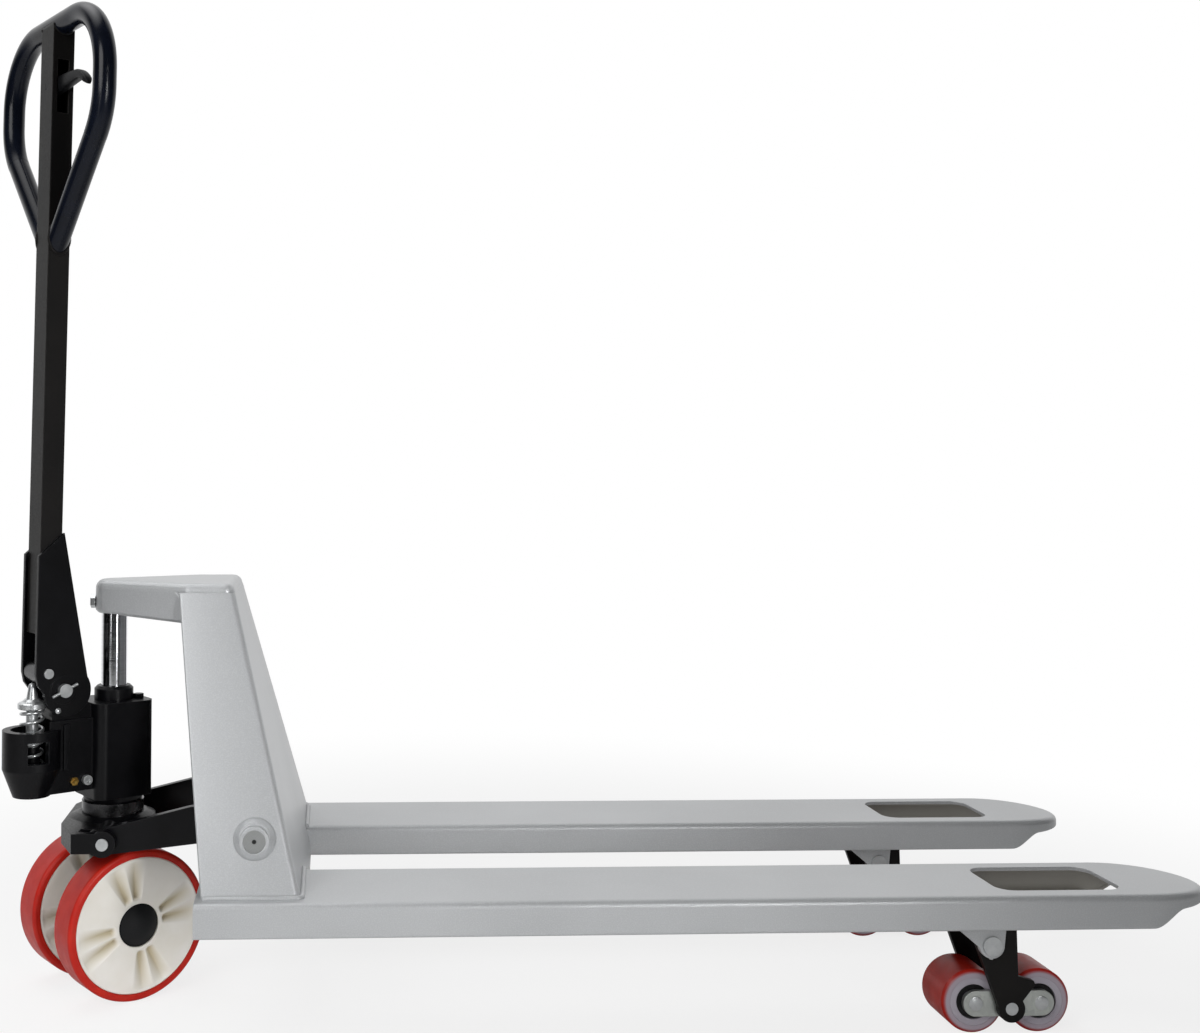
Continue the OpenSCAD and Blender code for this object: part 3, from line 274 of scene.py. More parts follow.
def highlight_and_wear_edges(tree, colour, round_mm, amount, highlight_wear_colour):
    """The colour moved towards another along edges: a painted highlight, with some wear. The share
    is nought on flats and rises to the amount, by how far the normal rounded over round_mm leaves
    the true one."""
    flat, edge = 0.995, 0.86
    soft = add(tree, "Bevel", {"Radius": round_mm/1000}, samples=BEVEL_SAMPLES)
    true = add(tree, "NewGeometry")
    match = add(tree, "VectorMath", {0: (soft, 0), 1: (true, "Normal")}, operation="DOT_PRODUCT")
    at_edge = add(tree, "MapRange", {0: (match, "Value"), 1: flat, 2: edge, 3: 0.0, 4: 1.0})
    share = add(tree, "Math", {0: (at_edge, 0), 1: amount}, operation="MULTIPLY")
    return add(tree, "Mix", {0: (share, 0), 6: (colour, 2), 7: linear(highlight_wear_colour)}, data_type="RGBA")


def dress(tree, shader, colour, gloss=None, bump=None, ends=NOISE):
    """Gives the shader its colour. Gloss is a source and the two roughnesses that it goes between
    as the source goes between its ends. Bump is a height, its depth and the radius of the rounded
    edges under it in millimetres, and its strength."""
    tree.links.new(colour.outputs[2], shader.inputs["Base Color"])
    if gloss:
        source, low, high = gloss
        level = add(tree, "MapRange", {0: source, 1: ends[0], 2: ends[1], 3: low, 4: high})
        tree.links.new(level.outputs[0], shader.inputs["Roughness"])
    if bump:
        height, depth_mm, round_mm, strength = bump
        soft = add(tree, "Bevel", {"Radius": round_mm/1000}, samples=BEVEL_SAMPLES)
        raised = add(tree, "Bump", {"Strength": strength, "Distance": depth_mm/1000,
                                    "Height": (height, 0), "Normal": (soft, 0)})
        tree.links.new(raised.outputs[0], shader.inputs["Normal"])


def silver_powder_coat():
    # Baked powder over sheet steel: a fine sparkle, a faint orange peel, edges painted paler as a
    # highlight
    material, tree, shader = surface("silver_powder_coat", {
        "Metallic": 0.35, "Coat Weight": 0.12, "Coat Roughness": 0.2})
    broad = grain(tree, 260, 3)
    # The real flake is about 0.1 mm; drawn at 1.6 mm so that it shows
    flake = grain(tree, 1.6, 1)
    peel = grain(tree, 3.0)
    dullest, brightest, most = 0.42, 0.72, 0.30
    base = mottle(tree, broad, "#b7b9bb", "#c2c4c6")
    glint = add(tree, "MapRange", {0: (flake, 0), 1: dullest, 2: brightest, 3: 0.0, 4: most})
    sparkle = add(tree, "Mix", {0: (glint, 0), 6: (base, 2), 7: linear("#dcdedf")},
                  data_type="RGBA")
    # Edges painted paler: a painted highlight along rounded edges and bends
    bright = highlight_and_wear_edges(tree, sparkle, 2.5, 0.45, "#dadcde")
    # Painted shade: the inside of the fork channels is painted a darker grey-brown
    inside = channel_shade_mask(tree)
    colour = add(tree, "Mix", {0: (inside, 0), 6: (bright, 2), 7: linear("#a5a29b")},
                 data_type="RGBA")
    dress(tree, shader, colour, ((flake, 0), 0.36, 0.46), (peel, 0.05, 2.0, 0.6))
    return material


def channel_shade_mask(tree):
    """The painted shade's mask: one inside the fork channels and nought elsewhere; between the
    walls, from the lower edge up to just under the top sheet, and behind the nose."""
    into_wall, under_top, over_edge, nose = 0.0008, 0.0024, 0.0022, 0.078
    walls, height = FORK_HALF - FORK_T + into_wall, FORK_H/2
    place = add(tree, "SeparateXYZ", {0: (add(tree, "TexCoord"), "Object")})
    across = add(tree, "Math", {0: (place, "Y")}, operation="ABSOLUTE")
    between = add(tree, "Math", {0: (across, 0), 1: FORK_Y, 2: walls}, operation="COMPARE")
    level = add(tree, "Math", {
        0: (place, "Z"), 1: FOOT[2] - height - under_top, 2: height - over_edge},
        operation="COMPARE")
    behind = add(tree, "Math", {0: (place, "X"), 1: TIP_X - nose}, operation="LESS_THAN")
    channel = add(tree, "Math", {0: (between, 0), 1: (level, 0)}, operation="MULTIPLY")
    return add(tree, "Math", {0: (channel, 0), 1: (behind, 0)}, operation="MULTIPLY")


def black_casting_enamel():
    # Black enamel brushed over sand-cast iron: deep black under a thin clear gloss, with the
    # casting's soft lumps under it
    material, tree, shader = surface("black_casting_enamel", {
        "Specular IOR Level": 0.10, "Coat Weight": 0.22, "Coat Roughness": 0.18})
    sand = grain(tree, 3.2, 3, rough=0.6)
    broad = grain(tree, 40)
    base = mottle(tree, broad, "#050507", "#0b0b0e")
    # Edges painted grey: a painted highlight along the ribs and edges
    colour = highlight_and_wear_edges(tree, base, 2.0, 0.25, "#3a3b3d")
    dress(tree, shader, colour, ((sand, 0), 0.34, 0.50), (sand, 0.18, 2.5, 0.7))
    return material


def black_powder_coat():
    # Black powder on drawn tube and plate: a shade warmer than the enamel, even and half matt
    material, tree, shader = surface("black_powder_coat", {"Specular IOR Level": 0.16})
    fine = grain(tree, 1.8)
    broad = grain(tree, 90)
    base = mottle(tree, broad, "#100f0f", "#191716")
    # Edges painted grey: a painted highlight along corners and edges
    colour = highlight_and_wear_edges(tree, base, 1.6, 0.35, "#4a4846")
    dress(tree, shader, colour, ((fine, 0), 0.36, 0.50), (fine, 0.04, 1.6, 0.5))
    return material


def gloss_black_tube():
    # Stoved gloss enamel on bent tube: clear highlights along the bends, a blue cast in the black
    material, tree, shader = surface("gloss_black_tube", {"Specular IOR Level": 0.26})
    broad = grain(tree, 60)
    peel = grain(tree, 5.0)
    base = mottle(tree, broad, "#090c14", "#111623")
    dress(tree, shader, base, ((broad, 0), 0.16, 0.26), (peel, 0.03, 0.8, 0.5))
    return material


def black_moulded_plastic():
    # Moulded polyamide: charcoal, spark-eroded grain, dull highlights
    material, tree, shader = surface("black_moulded_plastic", {"Specular IOR Level": 0.25})
    fine = grain(tree, 1.2)
    base = mottle(tree, fine, "#0d0e10", "#151619")
    dress(tree, shader, base, ((fine, 0), 0.42, 0.56), (fine, 0.05, 1.2, 0.6))
    return material


def zinc_plate():
    # Bright zinc plating on turned and headed steel: cool grey, a little cloudy
    material, tree, shader = surface("zinc_plate", {"Metallic": 0.85})
    cloud = grain(tree, 9)
    base = mottle(tree, cloud, "#c3c6c7", "#d6d8d9")
    dress(tree, shader, base, ((cloud, 0), 0.28, 0.36), (cloud, 0.01, 0.6, 0.15))
    return material


def oiled_steel():
    # Ground bearing steel under an oil film: dark grey, smooth, with a soft wide highlight
    material, tree, shader = surface("oiled_steel", {"Metallic": 1.0})
    film = grain(tree, 18)
    base = mottle(tree, film, "#414143", "#5c5c5d")
    dress(tree, shader, base, ((film, 0), 0.20, 0.32), (film, 0.01, 0.6, 0.3))
    return material


def galvanised_plate():
    # Galvanised strip: pale grey with crystal patches of slightly different gloss
    spangle_mm = 7.0
    material, tree, shader = surface("galvanised_plate", {"Metallic": 0.9})
    place = add(tree, "TexCoord")
    spangle = add(tree, "TexVoronoi", {"Vector": (place, "Object"), "Scale": 1000/spangle_mm})
    tone = add(tree, "SeparateColor", {0: (spangle, "Color")})
    base = add(tree, "Mix", {0: (tone, 0), 6: linear("#bdc1bd"), 7: linear("#cbcfca")},
               data_type="RGBA")
    fine = grain(tree, 2.0)
    dress(tree, shader, base, ((tone, 1), 0.34, 0.42), (fine, 0.03, 1.0, 0.4), (0.0, 1.0))
    return material


def turned_steel(axis_x, axis_z):
    # Turned bar end: rings of the cutting tool, and the dimple that the lathe's centre leaves,
    # painted dark as shade
    material, tree, shader = surface("turned_steel", {"Roughness": 0.36, "Metallic": 0.9})
    place = add(tree, "TexCoord")
    laid = add(tree, "Mapping", {"Vector": (place, "Object"), "Location": (-axis_x, 0, -axis_z)})
    flat = add(tree, "VectorMath", {0: (laid, 0), 1: (1, 0, 1)}, operation="MULTIPLY")
    out = add(tree, "VectorMath", {0: (flat, 0)}, operation="LENGTH")
    # Tool marks are about 0.2 mm apart; drawn at 1.6 mm so that they show
    ring_mm, dimple_r, dimple_edge = 1.6, 0.0022, 0.0034
    turns = add(tree, "Math", {0: (out, "Value"), 1: 2*np.pi*1000/ring_mm}, operation="MULTIPLY")
    ring = add(tree, "Math", {0: (turns, 0)}, operation="SINE")
    shade = add(tree, "MapRange", {0: (ring, 0), 1: -1, 2: 1, 3: 0.0, 4: 1.0})
    # The centre dimple is painted dark: painted shade in the hollow
    dimple = add(tree, "MapRange", {0: (out, "Value"), 1: dimple_r, 2: dimple_edge, 3: 0.0, 4: 1.0})
    base = add(tree, "Mix", {0: (shade, 0), 6: linear("#a6a8a8"), 7: linear("#b9bbba")},
               data_type="RGBA")
    colour = add(tree, "Mix", {0: (dimple, 0), 6: linear("#3a3a3a"), 7: (base, 2)},
                 data_type="RGBA")
    dress(tree, shader, colour, bump=(shade, 0.03, 1.0, 0.5))
    return material


def hard_chrome():
    # Ground hard chrome: a near mirror with fine rings round the rod
    material, tree, shader = surface("hard_chrome", {"Metallic": 1.0})
    # Grinding marks are about 0.05 mm; drawn at 0.8 mm along the rod so that they show
    ground = grain(tree, 30, stretch=(1, 1, 38))
    base = mottle(tree, ground, "#cfd1d4", "#e3e4e6")
    dress(tree, shader, base, ((ground, 0), 0.07, 0.14))
    return material


def red_polyurethane(name, dark, light, flange=None):
    # Cast polyurethane: saturated red, waxy, with a little floor dust rubbed into it. On the load
    # rollers it is cast thinly over the hub's flange, which shows through at the ends
    material, tree, shader = surface(name, {"Specular IOR Level": 0.28})
    cloud = grain(tree, 30, 3)
    dust = grain(tree, 14, 5, rough=0.65)
    fine = grain(tree, 2.2)
    cleanest, dustiest, most = 0.52, 0.78, 0.25
    base = mottle(tree, cloud, dark, light)
    dusty = add(tree, "MapRange", {0: (dust, 0), 1: cleanest, 2: dustiest, 3: 0.0, 4: most})
    colour = add(tree, "Mix", {0: (dusty, 0), 6: (base, 2), 7: linear("#8e4234")},
                 data_type="RGBA")
    if flange:
        flange_r, cover_r = 0.0340, 0.0385
        place = add(tree, "TexCoord")
        shares = []
        for x in ROLLER_X:
            laid = add(tree, "Mapping", {"Vector": (place, "Object"),
                                         "Location": (-x, 0, -ROLLER_Z), "Scale": (1, 0, 1)})
            out = add(tree, "VectorMath", {0: (laid, 0)}, operation="LENGTH")
            shares.append(add(tree, "MapRange", {
                0: (out, "Value"), 1: flange_r, 2: cover_r, 3: 1.0, 4: 0.0},
                interpolation_type="SMOOTHSTEP"))
        both = add(tree, "Math", {0: (shares[0], 0), 1: (shares[1], 0)}, operation="MAXIMUM")
        colour = add(tree, "Mix", {0: (both, 0), 6: (colour, 2), 7: linear(flange)},
                     data_type="RGBA")
    dress(tree, shader, colour, ((dust, 0), 0.30, 0.46), (fine, 0.04, 1.5, 0.4))
    return material


def moulded_nylon(name, dark, light, pocket_shade=None):
    # Injection-moulded nylon: milky, half matt, with faint flow marks. The steering wheels' hubs
    # are painted darker and warmer down in their pockets: painted shade, and painted warm light
    # that passes through the wall
    material, tree, shader = surface(name)
    flow = grain(tree, 45, 3)
    fine = grain(tree, 1.6, 1)
    base = mottle(tree, flow, dark, light)
    if pocket_shade:
        deep, shallow, most = WHEEL_HALF - 0.0070, WHEEL_HALF - 0.0008, 0.85
        axle = -np.sin(STEER_TURN), np.cos(STEER_TURN), 0
        place = add(tree, "TexCoord")
        along = add(tree, "VectorMath", {0: (place, "Object"), 1: axle}, operation="DOT_PRODUCT")
        from_ram = add(tree, "Math", {0: (along, "Value"), 1: RAM_X*axle[0]}, operation="SUBTRACT")
        out = add(tree, "Math", {0: (from_ram, 0)}, operation="ABSOLUTE")
        from_middle = add(tree, "Math", {0: (out, 0), 1: WHEEL_IN + WHEEL_HALF},
                          operation="SUBTRACT")
        to_face = add(tree, "Math", {0: (from_middle, 0)}, operation="ABSOLUTE")
        # Painted shade and warm light: the colour darkens and warms with the pocket's depth
        share = add(tree, "MapRange", {0: (to_face, 0), 1: deep, 2: shallow, 3: most, 4: 0.0})
        base = add(tree, "Mix", {0: (share, 0), 6: (base, 2), 7: linear(pocket_shade)},
                   data_type="RGBA")
    dress(tree, shader, base, ((flow, 0), 0.36, 0.50), (fine, 0.03, 1.2, 0.4))
    return material


def black_rubber():
    # Nitrile seal rubber: dull charcoal with a dusty bloom
    material, tree, shader = surface("black_rubber")
    bloom = grain(tree, 5, 3)
    base = mottle(tree, bloom, "#0e0e0f", "#1d1c1c")
    dress(tree, shader, base, ((bloom, 0), 0.55, 0.75), (bloom, 0.04, 0.6, 0.4))
    return material


def plain_brass():
    # Turned brass: warm yellow metal gone slightly dull
    material, tree, shader = surface("plain_brass", {"Metallic": 1.0})
    cloud = grain(tree, 6)
    base = mottle(tree, cloud, "#9a7838", "#bf9a52")
    dress(tree, shader, base, ((cloud, 0), 0.28, 0.42))
    return material


def paint_nodes(material, *names):
    """Gives CAD nodes a finish."""
    for name in names:
        mesh = nodes[name].data
        mesh.materials.clear()
        mesh.materials.append(material)


# Pieces

def place_piece(name, points, faces, material, body):
    """A piece from its points and faces, with doubles merged, faces turned outwards and smooth
    shading up to sharp edges, riding on its body and taking the given finish."""
    merge, sharp = 1e-6, np.radians(42)
    mesh = bpy.data.meshes.new(name)
    mesh.from_pydata(points.reshape(-1, 3).tolist(), [], list(faces))
    edited = bmesh.new()
    edited.from_mesh(mesh)
    bmesh.ops.remove_doubles(edited, verts=edited.verts, dist=merge)
    bmesh.ops.recalc_face_normals(edited, faces=edited.faces)
    edited.to_mesh(mesh)
    edited.free()
    mesh.shade_smooth()
    mesh.set_sharp_from_angle(angle=sharp)
    mesh.materials.append(material)
    piece = bpy.data.objects.new(name, mesh)
    bpy.context.scene.collection.objects.link(piece)
    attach(piece, body)
    return piece


def grid_faces(rows, columns, wrap_rows=False):
    """Quads of a grid of points, closed round its columns, and round its rows where asked."""
    r = np.arange(rows if wrap_rows else rows - 1)
    a, b = (m.ravel() for m in np.meshgrid(r, np.arange(columns), indexing="ij"))
    a2, b2 = (a + 1) % rows, (b + 1) % columns
    corners = a*columns + b, a*columns + b2, a2*columns + b2, a2*columns + b
    return np.stack(corners, axis=1).tolist()


def index_faces(index):
    """Quads between the neighbours of a grid of point numbers."""
    corners = index[:-1, :-1], index[:-1, 1:], index[1:, 1:], index[1:, :-1]
    return np.stack(corners, axis=-1).reshape(-1, 4).tolist()


def circle(sides):
    """Angles of a closed ring."""
    return 2*np.pi*np.arange(sides)/sides


def lathe(profile, sides):
    """Points of a profile of radius and height turned about the z axis."""
    k = circle(sides)
    radius, height = np.asarray(profile, float).T
    return np.stack((radius[:, None]*np.cos(k), radius[:, None]*np.sin(k),
                     np.broadcast_to(height[:, None], (len(radius), sides))), axis=-1)


def smooth_step(u):
    """A cubic ease from nought to one."""
    return 3*u**2 - 2*u**3


def unit(vectors):
    """Rows scaled to length one."""
    return vectors/np.linalg.norm(vectors, axis=1, keepdims=True)


def steered(points):
    """Points drawn straight ahead about the ram's axis, turned by the steering's turn."""
    c, s = np.cos(STEER_TURN), np.sin(STEER_TURN)
    x, y, z = np.moveaxis(points, -1, 0)
    return np.stack((RAM_X + c*x - s*y, s*x + c*y, z), axis=-1)


def handled(points):
    """Points of the handle's frame, about its pivot with the pole upwards, leaned and turned into
    place."""
    c, s = np.cos(HANDLE_LEAN), np.sin(HANDLE_LEAN)
    x, y, z = np.moveaxis(points, -1, 0)
    return steered(np.stack((-PIVOT_OUT + c*x + s*z, y, PIVOT_Z - s*x + c*z), axis=-1))


def side_sheet(word, side, material):
    """A plate lofted from the fork up to the head. Every level is one closed outline: round the
    front edge on a large radius, back along the outer face, round the rear edge and forward along
    the inner face."""
    rows, steps = 16, 12
    bend, edge, sunk = 0.0082, 0.0030, 0.0014
    share = np.linspace(-sunk, 1, rows)[:, None]
    front = FOOT[0] + (TOWER_TOP[0] - FOOT[0])*share
    rear = front - FOOT_LENGTH + (FOOT_LENGTH - TOP_LENGTH)*share
    outer = FOOT[1] + (TOWER_TOP[1] - FOOT[1])*share
    inner = outer - PLATE
    height = FOOT[2] + (TOWER_TOP[2] - FOOT[2])*share
    a, b, c = np.radians(np.linspace((0, 90, 180), (90, 180, 270), steps)).T
    x = np.concatenate((front - bend + bend*np.cos(a), rear + edge + edge*np.cos(b),
                        rear + edge + edge*np.cos(c), front), axis=1)
    y = np.concatenate((outer - bend + bend*np.sin(a), outer - edge + edge*np.sin(b),
                        inner + edge + edge*np.sin(c), inner), axis=1)
    points = np.stack((x, side*y, np.broadcast_to(height, x.shape)), axis=-1)
    columns = x.shape[1]
    ends = [list(range(columns)), list(range((rows - 1)*columns, rows*columns))]
    piece = place_piece(word + "_side_sheet", points, grid_faces(rows, columns) + ends, material,
                        "frame")
    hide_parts(word + "_side_plate")


def fork_outline(straight):
    """The fork's edge in plan about its middle line, with the inward direction at every point: the
    given places along one side, the nose on half an ellipse, and back along the other side."""
    turn = np.linspace(0, np.pi/2, 49)
    x = np.concatenate((straight, TIP_X - NOSE + NOSE*np.sin(turn)))
    y = -FORK_HALF*np.concatenate((np.ones(len(straight)), np.cos(turn).clip(0)))
    left = np.stack((x, y), axis=1)
    path = np.concatenate((left, left[-2::-1]*(1, -1)))
    ahead = np.gradient(path, axis=0)
    inward = np.stack((-ahead[:, 1], ahead[:, 0]), axis=1)
    return path, unit(inward)


def fork_section(x):
    """How far inwards and how high the bent sheet's section lies at each place x along the fork:
    from the top round the bend, down the wall, round the lower corner to the lip and back up
    inside. The nose's top falls with the square of the distance from its start, and its lower edge
    rises on an S, a cubic ease added to a slow straight rise."""
    hold, corner = 0.0015, 0.003
    eased, no_lip = 0.94, 0.0003
    nose_x = TIP_X - NOSE
    top = FOOT[2] - NOSE_DROP*(np.clip(x - nose_x, 0, None)/NOSE)**2
    skirt = FORK_H - NOSE_DROP - NOSE_SKIRT
    run = np.clip(SCOOP - (TIP_X - x), 0, None)
    rise = eased*smooth_step(np.clip(run/STEEP, 0, 1)) + (1 - eased)*run/SCOOP
    low = FOOT[2] - FORK_H + skirt*rise
    lip = FORK_T + np.where(x < nose_x - 1e-6, LIP, no_lip)
    a = np.radians(np.linspace(0, 90, 9))
    one, inner = np.ones_like(x), FORK_BEND - FORK_T
    offset = np.concatenate((
        one*(FORK_BEND + hold), one*(FORK_BEND - FORK_BEND*np.sin(a)), 0*one, 0*one,
        one*(corner - corner*np.cos(a)), lip, lip, one*FORK_T,
        one*(FORK_BEND - inner*np.sin(a[::-1])), one*(FORK_BEND + hold)), axis=1)
    height = np.concatenate((
        top, top - FORK_BEND + FORK_BEND*np.cos(a), top - FORK_BEND - hold, low + corner + hold,
        low + corner - corner*np.sin(a), low, low + FORK_T, low + FORK_T,
        top - FORK_BEND + inner*np.cos(a[::-1]), top - FORK_T), axis=1)
    return offset, height


def window_half():
    """Half of the roller window's outline, from the middle of its front end round two quarter
    circles to the middle of its rear end."""
    rear, front, half, r = WINDOW
    b = np.radians(np.linspace(0, -90, 9))
    return np.concatenate((
        [(front, 0)],
        np.stack((front - r + r*np.cos(b), r*(1 + np.sin(b)) - half), axis=1),
        np.stack((rear + r + r*np.sin(b), r*(1 - np.cos(b)) - half), axis=1),
        [(rear, 0)]))


def fork_skin(word, side, material):
    """A bent sheet fork. One section is carried round the plan's outline, and two flat plates with
    the roller window and the arm slot close the top, with the nose's top filled row by row."""
    overhang, slot_back, slot_ahead, slot_room, cut_room = 0.007, 0.042, 0.048, 0.011, 0.006
    rod_low, rod_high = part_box("right_push_rod")
    slot_half = (rod_high[1] - rod_low[1])/2 + slot_room
    slot_y = -(rod_low[1] + rod_high[1])/2 - FORK_Y + np.array((-1, 1))*slot_half
    slot_x = SHAFT[0] + np.array((-slot_back, slot_ahead))
    cut_x = np.array((WINDOW[0] - cut_room, WINDOW[1] + cut_room))
    straight = np.concatenate(((FOOT[0] - FOOT_LENGTH - overhang,), slot_x, cut_x))
    nose = len(straight)
    path, inward = fork_outline(straight)
    offset, height = fork_section(path[:, :1])
    rows, columns = offset.shape
    plan = path[:, None] + inward[:, None]*offset[..., None]
    points = [np.concatenate((plan, height[..., None]), axis=-1).reshape(-1, 3)]
    number = np.arange(rows*columns).reshape(rows, columns)
    faces = index_faces(number) + [number[0].tolist() + number[-1, ::-1].tolist()]

    ring = window_half()
    loop = np.concatenate((ring, ring[-2:0:-1]*(1, -1)))
    slot = np.stack(np.meshgrid(slot_x, slot_y, indexing="ij"), axis=-1).reshape(-1, 2)
    flat = np.concatenate((loop, slot, np.stack((cut_x, (0, 0)), axis=1)))
    half, side_rows = len(ring), (rows + 1)//2
    share = np.linspace(0, 1, 10)[1:-1]
    walls, count = [], rows*columns
    for column, z in ((0, FOOT[2]), (columns - 1, FOOT[2] - FORK_T)):
        own = count + np.arange(len(flat))
        points.append(np.column_stack((flat, np.full(len(flat), z))))
        count += len(flat)
        around, (s0, s1, s2, s3), (mid_low, mid_high) = own[:len(loop)], own[-6:-2], own[-2:]
        near, far = number[:side_rows, column], number[::-1, column][:side_rows]
        edge, other = (points[0][k[nose:]] for k in (near, far))
        across = edge[:, None] + (other - edge)[:, None]*share[None, :, None]
        fresh = count + np.arange(across.shape[0]*across.shape[1]).reshape(across.shape[:2])
        points.append(across.reshape(-1, 3))
        count += fresh.size
        faces += index_faces(np.concatenate((near[nose:, None], fresh, far[nose:, None]), axis=1))
        plates = ((near[0], near[1], s0, s1, far[1], far[0]),
                  (near[1], near[2], s2, s0),
                  (s1, s3, far[2], far[1]),
                  (near[2], near[3], mid_low, far[3], far[2], s3, s2),
                  (near[3], near[4], mid_high, *around[:half], mid_low),
                  (far[3], mid_low, *around[half - 1:], around[0], mid_high, far[4]),
                  (near[4], near[5], *fresh[0], far[5], far[4], mid_high))
        faces += [np.array(plate).tolist() for plate in plates]
        walls.append((np.append(around, around[0]), np.array((s0, s1, s3, s2, s0))))
    for upper, lower in zip(*walls):
        faces += index_faces(np.stack((upper, lower)))
    points = np.concatenate(points)
    points[:, 1] = side*(FORK_Y + points[:, 1])
    piece = place_piece(word + "_fork_sheet", points, faces, material, "frame")
    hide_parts(word + "_fork")


def wheel_hub(word, side, material):
    """A moulded hub turned from one section, from the cap's seat over the outer face, the rim and
    the inner face to the bore. Four pairs of wedge pockets on each face deepen towards the middle:
    their depth falls along the radius, and across the angle it is a V with a slightly rounded
    floor."""
    bore, seat, face_in, face_out = (
        BEARING_R + 0.0001, BEARING_R + 0.0051, BEARING_R + 0.0062, HUB_R - 0.0018)
    top, seat_z, chamfer, rim = WHEEL_HALF - 0.0006, WHEEL_HALF - 0.007, 0.0004, 0.0017
    face_points, steps = 34, 360
    face = np.linspace(face_in, face_out, face_points)
    turn = np.radians(np.linspace(0, 90, 6))
    rim_r, rim_z = face_out + rim*np.sin(turn), top - rim + rim*np.cos(turn)
    flat = np.full(face_points, top)
    radius = np.concatenate(((bore, seat, seat, seat + chamfer), face, rim_r, rim_r[::-1],
                             face[::-1], (seat, bore)))
    z = np.concatenate(((seat_z, seat_z, top - chamfer, top), flat, rim_z, -rim_z[::-1], -flat,
                        (-top, -top)))

    # Pockets: angles in degrees, then places along the radius
    first, half_gap, half_width = 30, 10.5, 10.4
    deepest, reach, full, wall = 0.0088, HUB_R - 0.004, BEARING_R + 0.013, BEARING_R + 0.0105
    wall_run, fall, brim, rounding = 0.0035, 0.50, 1.01, 0.001
    angle = circle(steps)
    pair = (np.degrees(angle) + first) % 90 - 45
    off = np.minimum(np.abs(pair - half_gap), np.abs(pair + half_gap))/half_width
    wedge = np.clip(brim - np.sqrt(off**2 + rounding), 0, None)
    depth = deepest*np.clip((reach - radius)/(reach - full), 0, 1)**fall
    depth *= np.clip((radius - wall)/wall_run, 0, 1)
    dished = np.sign(z)*depth*(np.abs(np.abs(z) - top) < 1e-6)
    height = z[:, None] - dished[:, None]*wedge
    local = np.stack((radius[:, None]*np.cos(angle), side*(WHEEL_IN + WHEEL_HALF + height),
                      AXLE_Z + radius[:, None]*np.sin(angle)), axis=-1)
    piece = place_piece(word + "_hub_moulding", steered(local),
                        grid_faces(len(radius), steps, wrap_rows=True), material,
                        word + "_wheel")
    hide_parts(word + "_wheel_hub")


def hooked_lever(material):
    """A finger lever: a rounded rectangle carried along a line that rises gently from its pin and
    hooks down at the tip, growing thinner on the way, with both ends drawn in. A second turned
    shell is its pin."""
    steps, sides = 60, 28
    # Lengths in metres, then shares of the length
    behind, length, start, lift, dip = 0.012, 0.116, 0.001, 0.003, 0.019
    root, thinning, half_width, swelling = 0.0125, 0.0088, 0.0060, 0.0012
    straight, hook, root_end, tip_end = 0.70, 0.30, 0.03, 0.06
    taper, squareness = 1.2, 0.55
    s = np.linspace(0, 1, steps)
    rise = np.sin(np.pi/2*np.clip(s/straight, 0, 1))
    drop = np.clip((s - straight)/hook, 0, None)**2
    line = np.stack((0*s, behind - length*s, start + lift*rise - dip*drop), axis=1)
    upward = np.cross(unit(np.gradient(line, axis=0)), (1, 0, 0))
    upward *= np.sign(upward[:, 2:3])
    drawn = np.clip(np.minimum(s/root_end, (1 - s)/tip_end), 0, 1)**0.5
    thick = (root - thinning*s**taper)*drawn
    wide = (half_width + swelling*np.sin(np.pi*s))*drawn
    k = circle(sides)
    sideways, up = (np.sign(v)*np.abs(v)**squareness for v in (np.cos(k), np.sin(k)))
    points = (line[:, None] + wide[:, None, None]*sideways[None, :, None]*np.array((1, 0, 0))
              + thick[:, None, None]*up[None, :, None]*upward[:, None])

    pin_r, pin_edge, pin_half = 0.0039, 0.0036, POLE_DEPTH - 0.0001
    profile = (0, -1), (pin_edge, -1), (pin_r, -0.98), (pin_r, 0.98), (pin_edge, 1), (0, 1)
    pin = lathe(profile, sides)
    pin = np.stack((pin[..., 2]*pin_half, pin[..., 0], pin[..., 1]), axis=-1)
    faces = grid_faces(steps, sides), np.array(grid_faces(len(profile), sides)) + steps*sides
    both = np.concatenate((points.reshape(-1, 3), pin.reshape(-1, 3))) + (-POLE_OUT, 0, LEVER_UP)
    piece = place_piece("hooked_lever", handled(both), np.concatenate(faces).tolist(), material,
                        "control_lever")
    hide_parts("control_lever")


def axle_heads(material):
    """Riveted ends of the roller axles, one pair to each link plate: a low disc with a sloping
    edge, turned about the axle."""
    sides, outer, flat, sunk, rim, top = 32, 0.0090, 0.0083, -0.0010, 0.0001, 0.00045
    profile = (0, sunk), (outer, sunk), (outer, rim), (flat, top), (0, top)
    shell = lathe(profile, sides)
    disc = np.stack((shell[..., 0], shell[..., 2], shell[..., 1]), axis=-1)
    faces = np.array(grid_faces(len(profile), sides))
    for word, side in SIDES:
        points = np.stack([(disc + (0, LINK_OUT, 0))*(1, end, 1) + (x, side*FORK_Y, ROLLER_Z)
                           for x in ROLLER_X for end in (-1, 1)])
        every = np.concatenate([faces + n*len(profile)*sides for n in range(len(points))])
        place_piece(word + "_axle_heads", points, every.tolist(), material, word + "_bogie")


